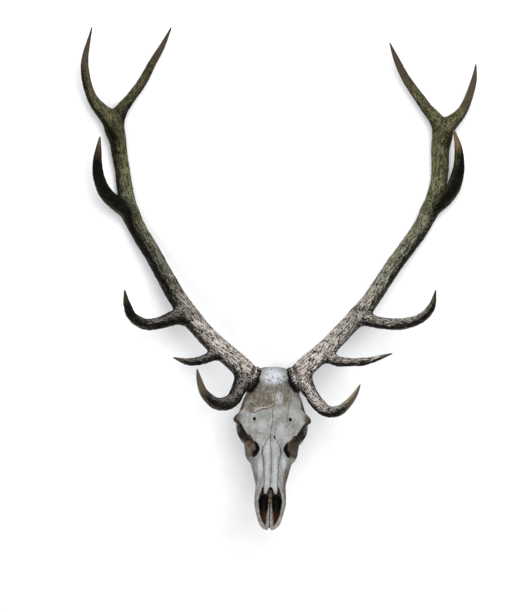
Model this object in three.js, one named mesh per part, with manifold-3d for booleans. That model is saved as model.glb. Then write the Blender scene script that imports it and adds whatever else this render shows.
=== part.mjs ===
// Skull of a red deer stag with its twelve-point antlers and no lower jaw, life size, in millimetres.
// It lies face up: the spurs beside the neck joint and the backs of both main beams rest on the floor.
//
// Three frames are used. The skull frame has x to the animal's left, y to the back of the head and z
// up out of the forehead, with its origin between the pedicles. The antler frame is that frame turned
// by faceLean about x, so that the two main beams stand nearly in its x-y plane. The outer group turns
// the antler frame by restLean onto the floor.
import * as THREE from 'three';
import { mergeVertices } from 'three/addons/utils/BufferGeometryUtils.js';
import Module from 'manifold-3d';

const wasm = await Module();
wasm.setup();

const faceLean = THREE.MathUtils.degToRad(22);
const restLean = THREE.MathUtils.degToRad(17.5);
const restPlace = new THREE.Vector3(7.8, -262, 137.4);
const toAntlerFrame = new THREE.Matrix4().makeRotationX(-faceLean);
const gap = 0.3;                // left between neighbouring pieces

const far = 200;                // past the skull on every side

// Skull sizes, in the skull frame.
const noseTip = -330;
const occiputBack = 66;
const frontalSuture = -112;     // where the forehead meets the nasal bones
const coronalSuture = new THREE.Vector3(0, 18, 0);      // where the forehead meets the braincase
const coronalLean = THREE.MathUtils.degToRad(-34);      // and how far it slants forward as it goes down
const nuchalLine = 42;          // where the braincase meets the occiput
const muzzleSuture = -238;      // where the upper jaw meets the premaxilla
const nasalTip = -256;
const nasalHalfWidth = 21;
const nasalUnderside = -14;
const passageFront = -321;
const passageBack = -170;
const pedicleBase = new THREE.Vector3(42, -6, -12);
const pedicleRadius = [22, 18.5, 19.5];
const pedicleCut = 0.95;        // where the pedicle is parted from its root, as a part of half its length
const pedicleEnd = 1.6;         // inside the burr
const burrRadius = 29.5;
const burrHeight = 15;
const burrKnobs = 9;

// Antler routes, in the antler frame: [across, up, out, radius], from the root to the tip.
const antlers = {
  right: {
    burrAxis: new THREE.Vector3(-0.82, 0.50, 0.27),
    beam: [
      [-53, 23, 16, 25], [-79, 49, 26, 24.5], [-122, 85, 28, 22.7], [-161, 119, 24, 22.3],
      [-224, 194, 13, 21.4], [-287, 297, 5, 20.2], [-347, 400, 8, 20.2], [-369, 510, 34.6, 17.5],
      [-388, 599, 80, 20.5], [-434, 656, 112, 12.2], [-451, 726, 146, 9], [-435, 812, 168, 1.6],
    ],
    brow_tine: [
      [-71, 14, 28, 20], [-82, -8, 52, 17], [-93, -28, 82, 16], [-111, -37, 114, 15.2],
      [-135, -32, 146, 13.2], [-158, -9, 172, 9.7], [-169, 21, 190, 6.3], [-174, 45, 201, 1.6],
    ],
    bez_tine: [
      [-129, 81, 26, 13.5], [-153, 67, 46, 11], [-179, 58, 68, 9.3], [-201, 57, 86, 8.1],
      [-232, 66, 107, 1.6],
    ],
    trez_tine: [
      [-207, 162, 16, 20], [-234, 158, 34, 17.3], [-267, 145, 62, 13.9], [-299, 141, 90, 12.7],
      [-327, 156, 115, 11.2], [-340, 184, 132, 8.7], [-346, 219, 143, 1.6],
    ],
    crown_tine: [
      [-338, 393, 12, 18.5], [-367, 413, 38, 17.5], [-400, 440, 68, 15.8], [-416, 475, 88, 13.4],
      [-420, 511, 99, 10.6], [-418, 539, 104, 7.4], [-415, 570, 106, 1.6],
    ],
    fork_inner: [
      [-386, 588, 74, 16.5], [-370, 630, 92, 15.2], [-349, 658, 103, 11.5], [-320, 698, 116, 10.6],
      [-299, 737, 128, 9], [-277, 775, 138, 6.6], [-256, 819, 147, 1.6],
    ],
  },
  left: {
    burrAxis: new THREE.Vector3(0.82, 0.50, 0.27),
    beam: [
      [55, 25, 16, 25], [79, 55, 26, 23.4], [116, 89, 28, 21.5], [151, 126, 24, 21.1],
      [214, 199, 13, 19.9], [275, 293, 5, 19.1], [346, 402, 10, 19.7], [373, 487, 28, 19.4],
      [377, 602, 78, 20.5], [417, 653, 110, 11.2], [437, 716, 134, 7.2], [440, 755, 147, 1.6],
    ],
    brow_tine: [
      [72, 13, 28, 20], [87, -9, 50, 15.6], [104, -33, 80, 15.3], [125, -47, 112, 13.8],
      [149, -44, 144, 11.6], [171, -23, 170, 8.8], [186, 1, 188, 5.7], [194, 20, 199, 1.6],
    ],
    bez_tine: [
      [114, 82, 26, 13.5], [147, 67, 46, 11.7], [181, 66, 68, 9.5], [214, 70, 90, 8.3],
      [270, 90, 120, 1.6],
    ],
    trez_tine: [
      [199, 173, 16, 19], [232, 161, 36, 13.8], [267, 157, 62, 13.5], [299, 159, 88, 12.9],
      [332, 172, 114, 11.5], [355, 198, 134, 8.9], [363, 238, 147, 1.6],
    ],
    crown_tine: [
      [359, 425, 12, 18.5], [385, 448, 40, 17.7], [404, 479, 70, 16.7], [412, 513, 92, 14.1],
      [412, 546, 105, 11], [407, 575, 112, 7.6], [396, 608, 117, 1.6],
    ],
    fork_inner: [
      [376, 592, 72, 16.5], [359, 629, 92, 15.7], [335, 655, 103, 12.9], [306, 690, 117, 11.5],
      [279, 726, 130, 9.4], [260, 760, 140, 7.1], [242, 798, 150, 1.6],
    ],
  },
};

// The beam is parted by thin cuts past its forks, at these places along its route, counted in points.
const beamParts = {
  beam_lower: [0.22, 2.698],
  beam_middle: [2.702, 4.348],
  beam_upper: [4.352, 8.098],
  fork_outer: [8.102, 11],
};

const bone = new THREE.MeshStandardMaterial({ color: '#cfccc4', roughness: 0.72, metalness: 0 });
const stainedBone = new THREE.MeshStandardMaterial({ color: '#a39a88', roughness: 0.8, metalness: 0 });
const antlerBase = new THREE.MeshStandardMaterial({ color: '#6f655a', roughness: 0.85, metalness: 0 });
const antlerBrown = new THREE.MeshStandardMaterial({ color: '#57524a', roughness: 0.8, metalness: 0 });
const antlerTip = new THREE.MeshStandardMaterial({ color: '#8d7f66', roughness: 0.55, metalness: 0 });

// A smooth value along [place, value] pairs in rising order, level beyond both ends.
function profile(pairs) {
  const slope = (i) => {
    const a = pairs[Math.max(i - 1, 0)];
    const b = pairs[Math.min(i + 1, pairs.length - 1)];
    return (b[1] - a[1]) / (b[0] - a[0]);
  };
  return (place) => {
    const at = THREE.MathUtils.clamp(place, pairs[0][0], pairs[pairs.length - 1][0]);
    let i = 0;
    while (i < pairs.length - 2 && at > pairs[i + 1][0]) i += 1;
    const run = pairs[i + 1][0] - pairs[i][0];
    const t = (at - pairs[i][0]) / run;
    const rise = pairs[i + 1][1] - pairs[i][1];
    const bendIn = slope(i) * run - rise;
    const bendOut = rise - slope(i + 1) * run;
    return pairs[i][1] + rise * t + t * (1 - t) * ((1 - t) * bendIn + t * bendOut);
  };
}

// A closed tube whose points are set by place(along 0..1, turn 0..1, edge 1 or cap centre 0).
function warpedTube(sides, rows, place) {
  const tube = new THREE.CylinderGeometry(1, 1, 1, sides, rows);
  tube.deleteAttribute('normal');
  tube.deleteAttribute('uv');
  const spots = tube.attributes.position;
  const spot = new THREE.Vector3();
  for (let i = 0; i < spots.count; i += 1) {
    spot.fromBufferAttribute(spots, i);
    const turn = (Math.atan2(spot.x, spot.z) / (2 * Math.PI) + 1) % 1;
    const edge = Math.hypot(spot.x, spot.z) > 0.5 ? 1 : 0;
    place(spot.y + 0.5, Math.round(turn * sides) / sides % 1, edge, spot);
    spots.setXYZ(i, spot.x, spot.y, spot.z);
  }
  return tube;
}

// The solid of a closed geometry, with its faces turned out.
function solid(geometry) {
  geometry.deleteAttribute('normal');
  geometry.deleteAttribute('uv');
  const merged = mergeVertices(geometry, 1e-3);
  const spots = merged.attributes.position;
  const corners = [new THREE.Vector3(), new THREE.Vector3(), new THREE.Vector3()];
  const faces = [];
  let volume = 0;
  for (let i = 0; i < merged.index.count; i += 3) {
    const face = [merged.index.getX(i), merged.index.getX(i + 1), merged.index.getX(i + 2)];
    if (new Set(face).size < 3) continue;
    corners.forEach((corner, k) => corner.fromBufferAttribute(spots, face[k]));
    volume += corners[0].dot(corners[1].clone().cross(corners[2]));
    faces.push(face);
  }
  const triVerts = new Uint32Array(faces.map((face) => (volume < 0 ? face.reverse() : face)).flat());
  return new wasm.Manifold(new wasm.Mesh({ numProp: 3, vertProperties: spots.array, triVerts }));
}

// A solid swept along a route of [x, y, z, radius] rows. Its section is flat times as deep along up
// as it is wide. from and to are places on the route, and grow thickens it.
function sweep(route, { sides = 10, rows = 8, from = 0, to = route.length - 1, grow = 0, flat = 1,
  up = new THREE.Vector3(0, 0, 1) } = {}) {
  const last = route.length - 1;
  const curve = new THREE.CatmullRomCurve3(route.map((row) => new THREE.Vector3(row[0], row[1], row[2])));
  const radius = profile(route.map((row, i) => [i, row[3]]));
  const across = new THREE.Vector3();
  const over = new THREE.Vector3();
  return solid(warpedTube(sides, rows, (along, turn, edge, spot) => {
    const at = THREE.MathUtils.lerp(from, to, along) / last;
    const tangent = curve.getTangent(at);
    across.crossVectors(tangent, up).normalize();
    over.crossVectors(across, tangent);
    const wide = (radius(at * last) + grow) * edge;
    const deep = (radius(at * last) * flat + grow) * edge;
    curve.getPoint(at, spot);
    spot.addScaledVector(across, wide * Math.cos(turn * 2 * Math.PI));
    spot.addScaledVector(over, deep * Math.sin(turn * 2 * Math.PI));
  }));
}

// The same shape on the other side of the head.
function mirrored(route) {
  return route.map(([x, ...rest]) => [-x, ...rest]);
}

// An ellipsoid with its radii and centre in the skull frame, leaned about y.
function lump(centre, radii, lean, sides = 8, rows = 6) {
  const ball = new THREE.SphereGeometry(1, sides, rows);
  ball.rotateX(Math.PI / 2);
  ball.scale(...radii);
  ball.rotateY(lean);
  ball.translate(...centre);
  return solid(ball);
}

// A box between two corners.
function block(low, high) {
  const box = new THREE.BoxGeometry(high[0] - low[0], high[1] - low[1], high[2] - low[2]);
  box.translate((low[0] + high[0]) / 2, (low[1] + high[1]) / 2, (low[2] + high[2]) / 2);
  return solid(box);
}

// A loft along y. The half section has a crown, a shoulder, a side, a base corner and a keel.
function loft(shape, front, back, sides, rows) {
  return solid(warpedTube(sides, rows, (along, turn, edge, spot) => {
    const y = THREE.MathUtils.lerp(front, back, along);
    const half = [
      [0, shape.crown(y)],
      [shape.shoulder(y), shape.shoulderHeight(y)],
      [shape.side(y), shape.sideHeight(y)],
      [shape.base(y), shape.baseHeight(y)],
      [0, shape.keel(y)],
    ];
    const round = [...half, ...half.slice(1, 4).reverse().map(([x, z]) => [-x, z])];
    const curve = new THREE.CatmullRomCurve3(round.map(([x, z]) => new THREE.Vector3(x, y, z)), true);
    if (edge === 0) spot.set(0, y, (half[0][1] + half[4][1]) / 2);
    else curve.getPoint(turn, spot);
  }));
}

// The skull's own body, from the muzzle to the neck joint.
const body = {
  crown: profile([[-330, -59], [-311, -55], [-295, -49], [-269, -35], [-246, -14], [-232, -7], [-150, -5],
    [-111, -8], [-75, -4], [-30, 2], [0, 4], [20, 0], [50, -14], [66, -38]]),
  shoulder: profile([[-330, 6], [-318, 15], [-298, 22], [-269, 26], [-246, 22], [-200, 20], [-150, 25],
    [-125, 42], [-105, 57], [-85, 67], [-70, 74], [-50, 69], [-28, 65], [-5, 58], [20, 41], [50, 27],
    [66, 22]]),
  shoulderHeight: profile([[-330, -60], [-295, -51], [-269, -38], [-246, -19], [-200, -14], [-150, -15],
    [-105, -14], [-70, -15], [-28, -9], [-5, -8], [20, -12], [50, -26], [66, -44]]),
  side: profile([[-330, 9], [-326, 17], [-318, 24.5], [-298, 31], [-269, 37.4], [-250, 36.5], [-224, 35.3],
    [-200, 39.5], [-174, 47.5], [-150, 53], [-125, 46], [-105, 34], [-75, 33], [-45, 40], [0, 46], [25, 48],
    [45, 55], [66, 42]]),
  sideHeight: profile([[-330, -62], [-269, -52], [-224, -54], [-163, -60], [-125, -46], [-75, -36],
    [-15, -40], [25, -46], [50, -58], [66, -62]]),
  base: profile([[-330, 6], [-318, 16], [-295, 26], [-269, 30], [-246, 24], [-224, 22], [-194, 33], [-150, 44],
    [-112, 40], [-90, 22], [-60, 17], [-15, 26], [30, 34], [66, 24]]),
  baseHeight: profile([[-330, -65], [-246, -62], [-224, -66], [-194, -74], [-130, -87], [-100, -88],
    [-75, -78], [-15, -76], [30, -84], [66, -84]]),
  keel: profile([[-330, -66], [-246, -62], [-205, -64], [-150, -78], [-100, -86], [-70, -82], [0, -88],
    [40, -92], [66, -92]]),
};

// The nose passage, open at the front and above the premaxillae.
const passage = {
  crown: profile([[-321, -40], [-240, -12], [-170, -16]]),
  shoulder: profile([[-321, 6], [-295, 17], [-269, 22], [-246, 18], [-170, 8]]),
  shoulderHeight: profile([[-321, -42], [-240, -14], [-170, -18]]),
  side: profile([[-321, 8], [-311, 14], [-295, 21], [-269, 26], [-246, 24], [-170, 9]]),
  sideHeight: profile([[-321, -50], [-269, -44], [-170, -32]]),
  base: profile([[-321, 6], [-295, 17], [-269, 22], [-246, 20], [-170, 7]]),
  baseHeight: profile([[-321, -56], [-246, -50], [-170, -42]]),
  keel: profile([[-321, -56], [-246, -51], [-170, -44]]),
};

// Cheek teeth of the left side, front to back: [length along the jaw, width], and the row's ends.
const teeth = [[15, 11], [16, 13], [15, 15], [20, 17], [22, 18], [21, 17]];
const toothRow = { front: [31, -205, -70], back: [37, -96, -92], bow: 5, crown: 13 };

function toothSolids() {
  const total = teeth.reduce((sum, [length]) => sum + length, 0);
  let passed = 0;
  return teeth.map(([length, width]) => {
    const t = (passed + length / 2) / total;
    passed += length;
    const tooth = new THREE.CylinderGeometry(0.56, 0.5, 1, 6, 1);
    tooth.rotateX(-Math.PI / 2);
    tooth.scale(width, length * 0.98, toothRow.crown * 2);
    tooth.translate(
      THREE.MathUtils.lerp(toothRow.front[0], toothRow.back[0], t) + toothRow.bow * Math.sin(Math.PI * t),
      THREE.MathUtils.lerp(toothRow.front[1], toothRow.back[1], t),
      THREE.MathUtils.lerp(toothRow.front[2], toothRow.back[2], t),
    );
    return solid(tooth);
  });
}

// Routes of the left side in the skull frame, each row [x, y, z, radius].
const cheek = {
  arch: [[46, -160, -62, 9], [56, -137, -57, 7], [62, -112, -58, 5.8], [76, -88, -61, 5.5],
    [78.5, -64, -61, 5.5], [70, -30, -58, 4.8], [60, -4, -56, 5.5], [42, 18, -54, 8]],
  archEnds: [1.2, 5.9],
  archDepth: 1.5,
  browRim: [[48, -138, -38, 6], [50, -126, -24, 5.5], [56, -110, -19, 5], [63, -94, -18, 5.5],
    [74, -78, -18, 7], [86, -72, -22, 5.5], [87, -67, -42, 5], [79, -66, -60, 5.5]],
  spur: [[34, 40, -84, 12], [37, 44, -108, 8], [37, 47, -128, 5.5], [36, 49, -136, 4]],
  mastoid: [[44, 26, -52, 12], [55, 36, -64, 9], [52, 40, -86, 6]],
};

// Rounded lumps and hollows of the left side, or of the middle where x is 0.
const lumps = [
  { name: 'occipital condyle', centre: [21, 64, -86], radii: [13, 17, 15] },
  { name: 'ear bulla', centre: [25, 4, -92], radii: [10, 16, 11] },
  { name: 'swelling over the cheek teeth', centre: [42, -156, -72], radii: [13, 26, 12] },
];
const hollows = [
  { name: 'neck opening', centre: [0, 78, -76], radii: [15, 34, 14], lean: 0 },
  { name: 'tear gland pit', centre: [54, -141, -36], radii: [12, 19, 11], lean: 0.5 },
  { name: 'eye socket', centre: [68, -97, -38], radii: [27, 26, 21], lean: 0 },
];

// An ellipsoid on each side of the head.
function pair({ centre: [x, y, z], radii, lean = 0 }) {
  const left = lump([x, y, z], radii, lean);
  return x === 0 ? left : left.add(lump([-x, y, z], radii, -lean));
}

const both = (route, options) => sweep(route, options).add(sweep(mirrored(route), options));

// The whole skull without its pedicles, arches and teeth.
function skullWhole() {
  const upright = new THREE.Vector3(0, 1, 0);
  const additions = [
    both(cheek.browRim, { sides: 6, rows: 10 }),
    both(cheek.spur, { sides: 6, rows: 4, flat: 1.3, up: upright }),
    both(cheek.mastoid, { sides: 6, rows: 3, up: upright }),
    ...lumps.map(pair),
  ];
  let whole = loft(body, noseTip, occiputBack, 16, 20);
  whole = whole.subtract(loft(passage, passageFront, passageBack, 10, 5));
  additions.forEach((piece) => { whole = whole.add(piece); });
  hollows.forEach((hollow) => { whole = whole.subtract(pair(hollow)); });
  return whole;
}

function geometryOf(shape) {
  const mesh = shape.getMesh();
  const geometry = new THREE.BufferGeometry();
  geometry.setAttribute('position', new THREE.BufferAttribute(new Float32Array(mesh.vertProperties), 3));
  geometry.setIndex(new THREE.BufferAttribute(new Uint32Array(mesh.triVerts), 1));
  return geometry;
}

function moved(shape, matrix) {
  return solid(geometryOf(shape).applyMatrix4(matrix));
}

// Everything below the floor, as a solid in the antler frame, to trim the resting flats.
function belowFloor() {
  const depth = 200;
  const slab = new THREE.BoxGeometry(1400, 1800, depth);
  slab.translate(0, -restPlace.y, -depth / 2 - restPlace.z);
  slab.rotateX(restLean);
  return solid(slab);
}

const floor = belowFloor();
const trophy = new THREE.Group();
trophy.rotation.x = -restLean;
trophy.position.copy(restPlace);

// Adds one named piece, drawn in the antler frame.
function add(name, shape, material) {
  const geometry = geometryOf(shape.subtract(floor));
  geometry.computeVertexNormals();
  const mesh = new THREE.Mesh(geometry, material);
  mesh.name = name;
  trophy.add(mesh);
}

// Pedicles: the stump is part of the forehead, and the top is a piece of its own under the burr.
function pedicleRoute(side) {
  const base = pedicleBase.clone().multiply(new THREE.Vector3(side, 1, 1)).applyMatrix4(toAntlerFrame);
  const [x, y, z] = antlers[side > 0 ? 'left' : 'right'].beam[0];
  const middle = base.clone().lerp(new THREE.Vector3(x, y, z), 0.5);
  return [
    [base.x, base.y, base.z, pedicleRadius[0]],
    [middle.x, middle.y, middle.z, pedicleRadius[1]],
    [x, y, z, pedicleRadius[2]],
  ];
}

// The burr is a knobbed ring of antler, drawn in the antler frame about its axis.
function burr(side, grow = 0) {
  const { beam, burrAxis } = antlers[side];
  const centre = new THREE.Vector3(...beam[0].slice(0, 3));
  const axis = burrAxis.clone().normalize();
  const across = new THREE.Vector3(0, 0, 1).cross(axis).normalize();
  const over = axis.clone().cross(across);
  const rim = profile([[0, 0.8], [0.35, 1], [0.7, 0.98], [1, 0.82]]);
  return solid(warpedTube(2 * burrKnobs, 3, (along, turn, edge, spot) => {
    const angle = turn * 2 * Math.PI;
    const knob = 1 + 0.05 * Math.cos(burrKnobs * angle);
    const out = (burrRadius * rim(along) * knob + grow) * edge;
    spot.copy(centre).addScaledVector(axis, (along - 0.5) * (burrHeight + 2 * grow));
    spot.addScaledVector(across, out * Math.cos(angle)).addScaledVector(over, out * Math.sin(angle));
  }));
}

const archShape = { sides: 6, rows: 9, flat: cheek.archDepth, from: cheek.archEnds[0], to: cheek.archEnds[1] };
const archRoot = { sides: 6, rows: 2, flat: cheek.archDepth };
const parting = 0.02;           // half the cut at an arch or pedicle end, in route points

// The whole skull with the roots of its pedicles and arches, clear of the arches themselves.
function skullWithRoots() {
  let whole = moved(skullWhole(), toAntlerFrame);
  for (const side of [1, -1]) {
    whole = whole.add(sweep(pedicleRoute(side), { sides: 10, rows: 2, to: pedicleCut }));
  }
  whole = moved(whole, toAntlerFrame.clone().invert());
  whole = whole.subtract(both(cheek.arch, { ...archShape, grow: gap }));
  whole = whole.add(both(cheek.arch, { ...archRoot, to: cheek.archEnds[0] - parting }));
  return whole.add(both(cheek.arch, { ...archRoot, from: cheek.archEnds[1] + parting }));
}

// The room in front of the coronal suture, or behind it.
function besideCoronal(from, to) {
  const room = new THREE.BoxGeometry(2 * far, to - from, 3 * far);
  room.translate(0, (from + to) / 2, 0);
  room.rotateX(coronalLean);
  room.translate(...coronalSuture);
  return solid(room);
}

function addSkull() {
  const whole = skullWithRoots();
  const half = gap / 2;
  const addBone = (name, shape, material = bone) => add(name, moved(shape, toAntlerFrame), material);
  const between = (low, high) => whole.intersect(block(low, high));
  const braincase = between([-far, -far, -far], [far, nuchalLine - half, far]);
  const forehead = between([-far, frontalSuture + half, -far], [far, far, far]);
  addBone('occiput', between([-far, nuchalLine + half, -far], [far, far, far]));
  addBone('braincase', braincase.intersect(besideCoronal(half, 2 * far)), stainedBone);
  addBone('forehead', forehead.intersect(besideCoronal(-2 * far, -half)));
  const nasalRoom = block(
    [-nasalHalfWidth - half, nasalTip - 10, nasalUnderside - half],
    [nasalHalfWidth + half, frontalSuture, far],
  );
  const teethRoom = block([-far, -2 * far, -far], [far, frontalSuture - half, far]);
  const leftTeeth = toothSolids().reduce((row, tooth) => row.add(tooth)).intersect(teethRoom);
  for (const [name, side] of [['left', 1], ['right', -1]]) {
    const low = (x, y, z) => [side > 0 ? half : -x, y, z];
    const high = (x, y, z) => [side > 0 ? x : -half, y, z];
    const nasalEdge = nasalHalfWidth - half;
    const jaw = between(low(far, muzzleSuture + half, -far), high(far, frontalSuture - half, far));
    const muzzle = between(low(far, noseTip - 1, -far), high(far, muzzleSuture - half, far));
    const teethHere = side > 0 ? leftTeeth : moved(leftTeeth, new THREE.Matrix4().makeScale(-1, 1, 1));
    const arch = side > 0 ? cheek.arch : mirrored(cheek.arch);
    addBone(`${name}_nasal`, between(low(nasalEdge, nasalTip, nasalUnderside + half),
      high(nasalEdge, frontalSuture - half, far)));
    addBone(`${name}_premaxilla`, muzzle.subtract(nasalRoom));
    addBone(`${name}_maxilla`, jaw.subtract(nasalRoom).add(teethHere));
    addBone(`${name}_cheekbone`, sweep(arch, archShape));
    add(`${name}_pedicle`, sweep(pedicleRoute(side), {
      sides: 10, rows: 2, from: pedicleCut + parting, to: pedicleEnd,
    }).subtract(burr(name, gap)), stainedBone);
  }
}

function addAntler(side) {
  const { beam } = antlers[side];
  const tines = Object.entries(antlers[side]).filter(([name]) => /tine|inner/.test(name));
  add(`${side}_burr`, burr(side), antlerBase);
  const roomForRing = burr(side, gap);
  let roomForBeam = roomForRing;
  for (const [name, [from, to]] of Object.entries(beamParts)) {
    const length = { sides: 10, rows: Math.round((to - from) * 3), from, to };
    roomForBeam = roomForBeam.add(sweep(beam, { ...length, grow: gap }));
    add(`${side}_${name}`, sweep(beam, length).subtract(roomForRing),
      name === 'fork_outer' ? antlerTip : antlerBrown);
  }
  for (const [name, route] of tines) {
    const tine = sweep(route, { sides: 8, rows: Math.round((route.length - 1) * 1.5) });
    add(`${side}_${name}`, tine.subtract(roomForBeam), antlerTip);
  }
}

addSkull();
addAntler('right');
addAntler('left');

const model = new THREE.Group();
model.add(trophy);
export default model;
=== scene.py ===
"""Skull of a red deer stag with its twelve-point antlers, lying face up on a pale floor.

Shapes are drawn in millimetres in two frames. The skull frame has x to the animal's left, y to the
back of the head and z up out of the forehead. The antler frame is that frame turned by FACE_LEAN
about x. REST_LEAN and REST_PLACE lay both on the floor, in metres.
"""
import math

import bmesh
import bpy
import numpy as np
from mathutils import Matrix, Vector, noise


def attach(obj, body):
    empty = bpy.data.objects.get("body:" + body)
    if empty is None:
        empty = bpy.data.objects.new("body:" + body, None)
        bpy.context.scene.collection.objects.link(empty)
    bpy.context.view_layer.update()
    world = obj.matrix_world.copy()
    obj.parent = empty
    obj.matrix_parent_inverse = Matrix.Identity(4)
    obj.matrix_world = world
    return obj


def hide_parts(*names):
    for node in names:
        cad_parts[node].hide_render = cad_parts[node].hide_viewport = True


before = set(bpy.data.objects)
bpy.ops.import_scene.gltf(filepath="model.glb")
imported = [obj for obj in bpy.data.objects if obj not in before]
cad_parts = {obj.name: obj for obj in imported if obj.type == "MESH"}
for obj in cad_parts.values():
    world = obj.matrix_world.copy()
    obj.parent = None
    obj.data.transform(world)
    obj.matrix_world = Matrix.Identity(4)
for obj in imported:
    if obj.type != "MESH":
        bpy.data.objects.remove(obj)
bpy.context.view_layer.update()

MM = 0.001
FACE_LEAN = math.radians(22)
REST_LEAN = math.radians(17.5)
REST_PLACE = Vector((7.8, -262, 137.4))
ANTLER_FRAME = (Matrix.Scale(MM, 4) @ Matrix.Translation(REST_PLACE)
                @ Matrix.Rotation(-REST_LEAN, 4, "X"))
SKULL_FRAME = ANTLER_FRAME @ Matrix.Rotation(-FACE_LEAN, 4, "X")
ANTLER_TO_SKULL = Matrix.Rotation(FACE_LEAN, 4, "X")

BONE_GRAIN = 1.62        # mesh size of the skull
ANTLER_GRAIN = 1.8       # mesh size of an antler
HOLLOW_GRAIN = BONE_GRAIN * 0.7                 # mesh size of the rooms cut from the skull
TINY = 1e-6                                     # keeps a division finite

# ---------------------------------------------------------------- curves and noise


def smooth_profile(pairs):
    """A smooth value along (place, value) pairs in rising order, level beyond both ends."""
    places = np.array([place for place, _ in pairs], float)
    values = np.array([value for _, value in pairs], float)
    last = len(places) - 1
    before = np.maximum(np.arange(last + 1) - 1, 0)
    after = np.minimum(np.arange(last + 1) + 1, last)
    slopes = (values[after] - values[before]) / (places[after] - places[before])

    def value_at(place):
        at = np.clip(place, places[0], places[-1])
        i = np.clip(np.searchsorted(places, at, side="right") - 1, 0, last - 1)
        run = places[i + 1] - places[i]
        t = (at - places[i]) / run
        rise = values[i + 1] - values[i]
        bend_in = slopes[i] * run - rise
        bend_out = rise - slopes[i + 1] * run
        return values[i] + rise * t + t * (1 - t) * ((1 - t) * bend_in + t * bend_out)

    return value_at


def four_point(corners, t):
    """The centripetal Catmull-Rom curve between the middle two of four points."""
    p0, p1, p2, p3 = corners
    d0, d1, d2 = (np.sqrt(np.maximum(np.linalg.norm(b - a, axis=1, keepdims=True), TINY))
                  for a, b in ((p0, p1), (p1, p2), (p2, p3)))
    start = ((p1 - p0) / d0 - (p2 - p0) / (d0 + d1) + (p2 - p1) / d1) * d1
    end = ((p2 - p1) / d1 - (p3 - p1) / (d1 + d2) + (p3 - p2) / d2) * d1
    step = p2 - p1
    return p1 + t * (start + t * ((3 * step - 2 * start - end) + t * (start + end - 2 * step)))


def spline(points, places):
    """Points of a centripetal Catmull-Rom curve, at places counted in curve points."""
    points = np.asarray(points, float)
    padded = np.vstack([2 * points[0] - points[1], points, 2 * points[-1] - points[-2]])
    i = np.clip(np.floor(places).astype(int), 0, len(points) - 2)
    return four_point([padded[i + k] for k in range(4)], (places - i)[:, None])


def swell(points, size, seed=0):
    """Smooth noise, about -1 to 1, with swells of the given size."""
    shifted = (np.asarray(points, float) / size + seed * 19.37).tolist()
    return np.array([noise.noise(point) for point in shifted])


def ramp(low, high, value):
    """0 below low, 1 above high, and smooth between. low may be the higher one."""
    t = np.clip((value - low) / (high - low), 0, 1)
    return t * t * (3 - 2 * t)


# ---------------------------------------------------------------- mesh helpers


def spots_of(mesh):
    flat = np.empty(len(mesh.vertices) * 3, dtype=np.float32)
    mesh.vertices.foreach_get("co", flat)
    return flat.reshape(-1, 3).astype(float)


def set_spots(mesh, spots):
    mesh.vertices.foreach_set("co", np.asarray(spots, dtype=np.float32).ravel())
    mesh.update()


def normals_of(mesh):
    flat = np.empty(len(mesh.vertices) * 3, dtype=np.float32)
    mesh.vertex_normals.foreach_get("vector", flat)
    return flat.reshape(-1, 3).astype(float)


def turned(points, matrix):
    """Points moved by a 4x4 matrix."""
    matrix = np.array(matrix)
    return points @ matrix[:3, :3].T + matrix[:3, 3]


def mesh_from(bm, name="shape"):
    bmesh.ops.recalc_face_normals(bm, faces=bm.faces)
    mesh = bpy.data.meshes.new(name)
    bm.to_mesh(mesh)
    bm.free()
    return mesh


def long_tube(sides, rows):
    """A closed tube of radius 1 from z = 0 to 1, with evenly parted rings."""
    bm = bmesh.new()
    bmesh.ops.create_cone(bm, cap_ends=True, cap_tris=True, segments=sides, radius1=1, radius2=1,
                          depth=1, matrix=Matrix.Translation((0, 0, 0.5)))
    lengthwise = [edge for edge in bm.edges if abs(edge.verts[0].co.z - edge.verts[1].co.z) > 0.5]
    bmesh.ops.subdivide_edges(bm, edges=lengthwise, cuts=rows - 1)
    return mesh_from(bm)


def tube_places(mesh):
    """Along (0..1), turn (0..1) and edge (1, or 0 at a cap's middle) of a long tube's vertices."""
    spots = spots_of(mesh)
    turn = (np.arctan2(spots[:, 1], spots[:, 0]) / (2 * math.pi)) % 1
    edge = np.where(np.hypot(spots[:, 0], spots[:, 1]) > 0.5, 1.0, 0.0)
    return spots[:, 2], turn, edge


def faces_out(mesh):
    """Turns the faces of a closed mesh outwards."""
    bm = bmesh.new()
    bm.from_mesh(mesh)
    bmesh.ops.recalc_face_normals(bm, faces=bm.faces)
    bm.to_mesh(mesh)
    bm.free()
    return mesh


def loft(shape, front, back, sides, rows):
    """A closed body along y whose half section has a crown, shoulder, side, base corner and keel."""
    mesh = long_tube(sides, rows)
    along, turn, edge = tube_places(mesh)
    y = front + (back - front) * along
    half = [(0 * y, shape["crown"](y)),
            (shape["shoulder"](y), shape["shoulder_height"](y)),
            (shape["side"](y), shape["side_height"](y)),
            (shape["base"](y), shape["base_height"](y)),
            (0 * y, shape["keel"](y))]
    ring = half + [(-x, z) for x, z in half[3:0:-1]]
    rings = np.array([np.stack(corner, axis=1) for corner in ring])
    place = turn * len(ring)
    i = np.floor(place).astype(int) % len(ring)
    corners = [rings[(i + k - 1) % len(ring), np.arange(len(y))] for k in range(4)]
    section = four_point(corners, (place - np.floor(place))[:, None])
    middle = (half[0][1] + half[4][1]) / 2
    x = np.where(edge > 0, section[:, 0], 0)
    z = np.where(edge > 0, section[:, 1], middle)
    set_spots(mesh, np.stack([x, y, z], axis=1))
    return faces_out(mesh)


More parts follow.
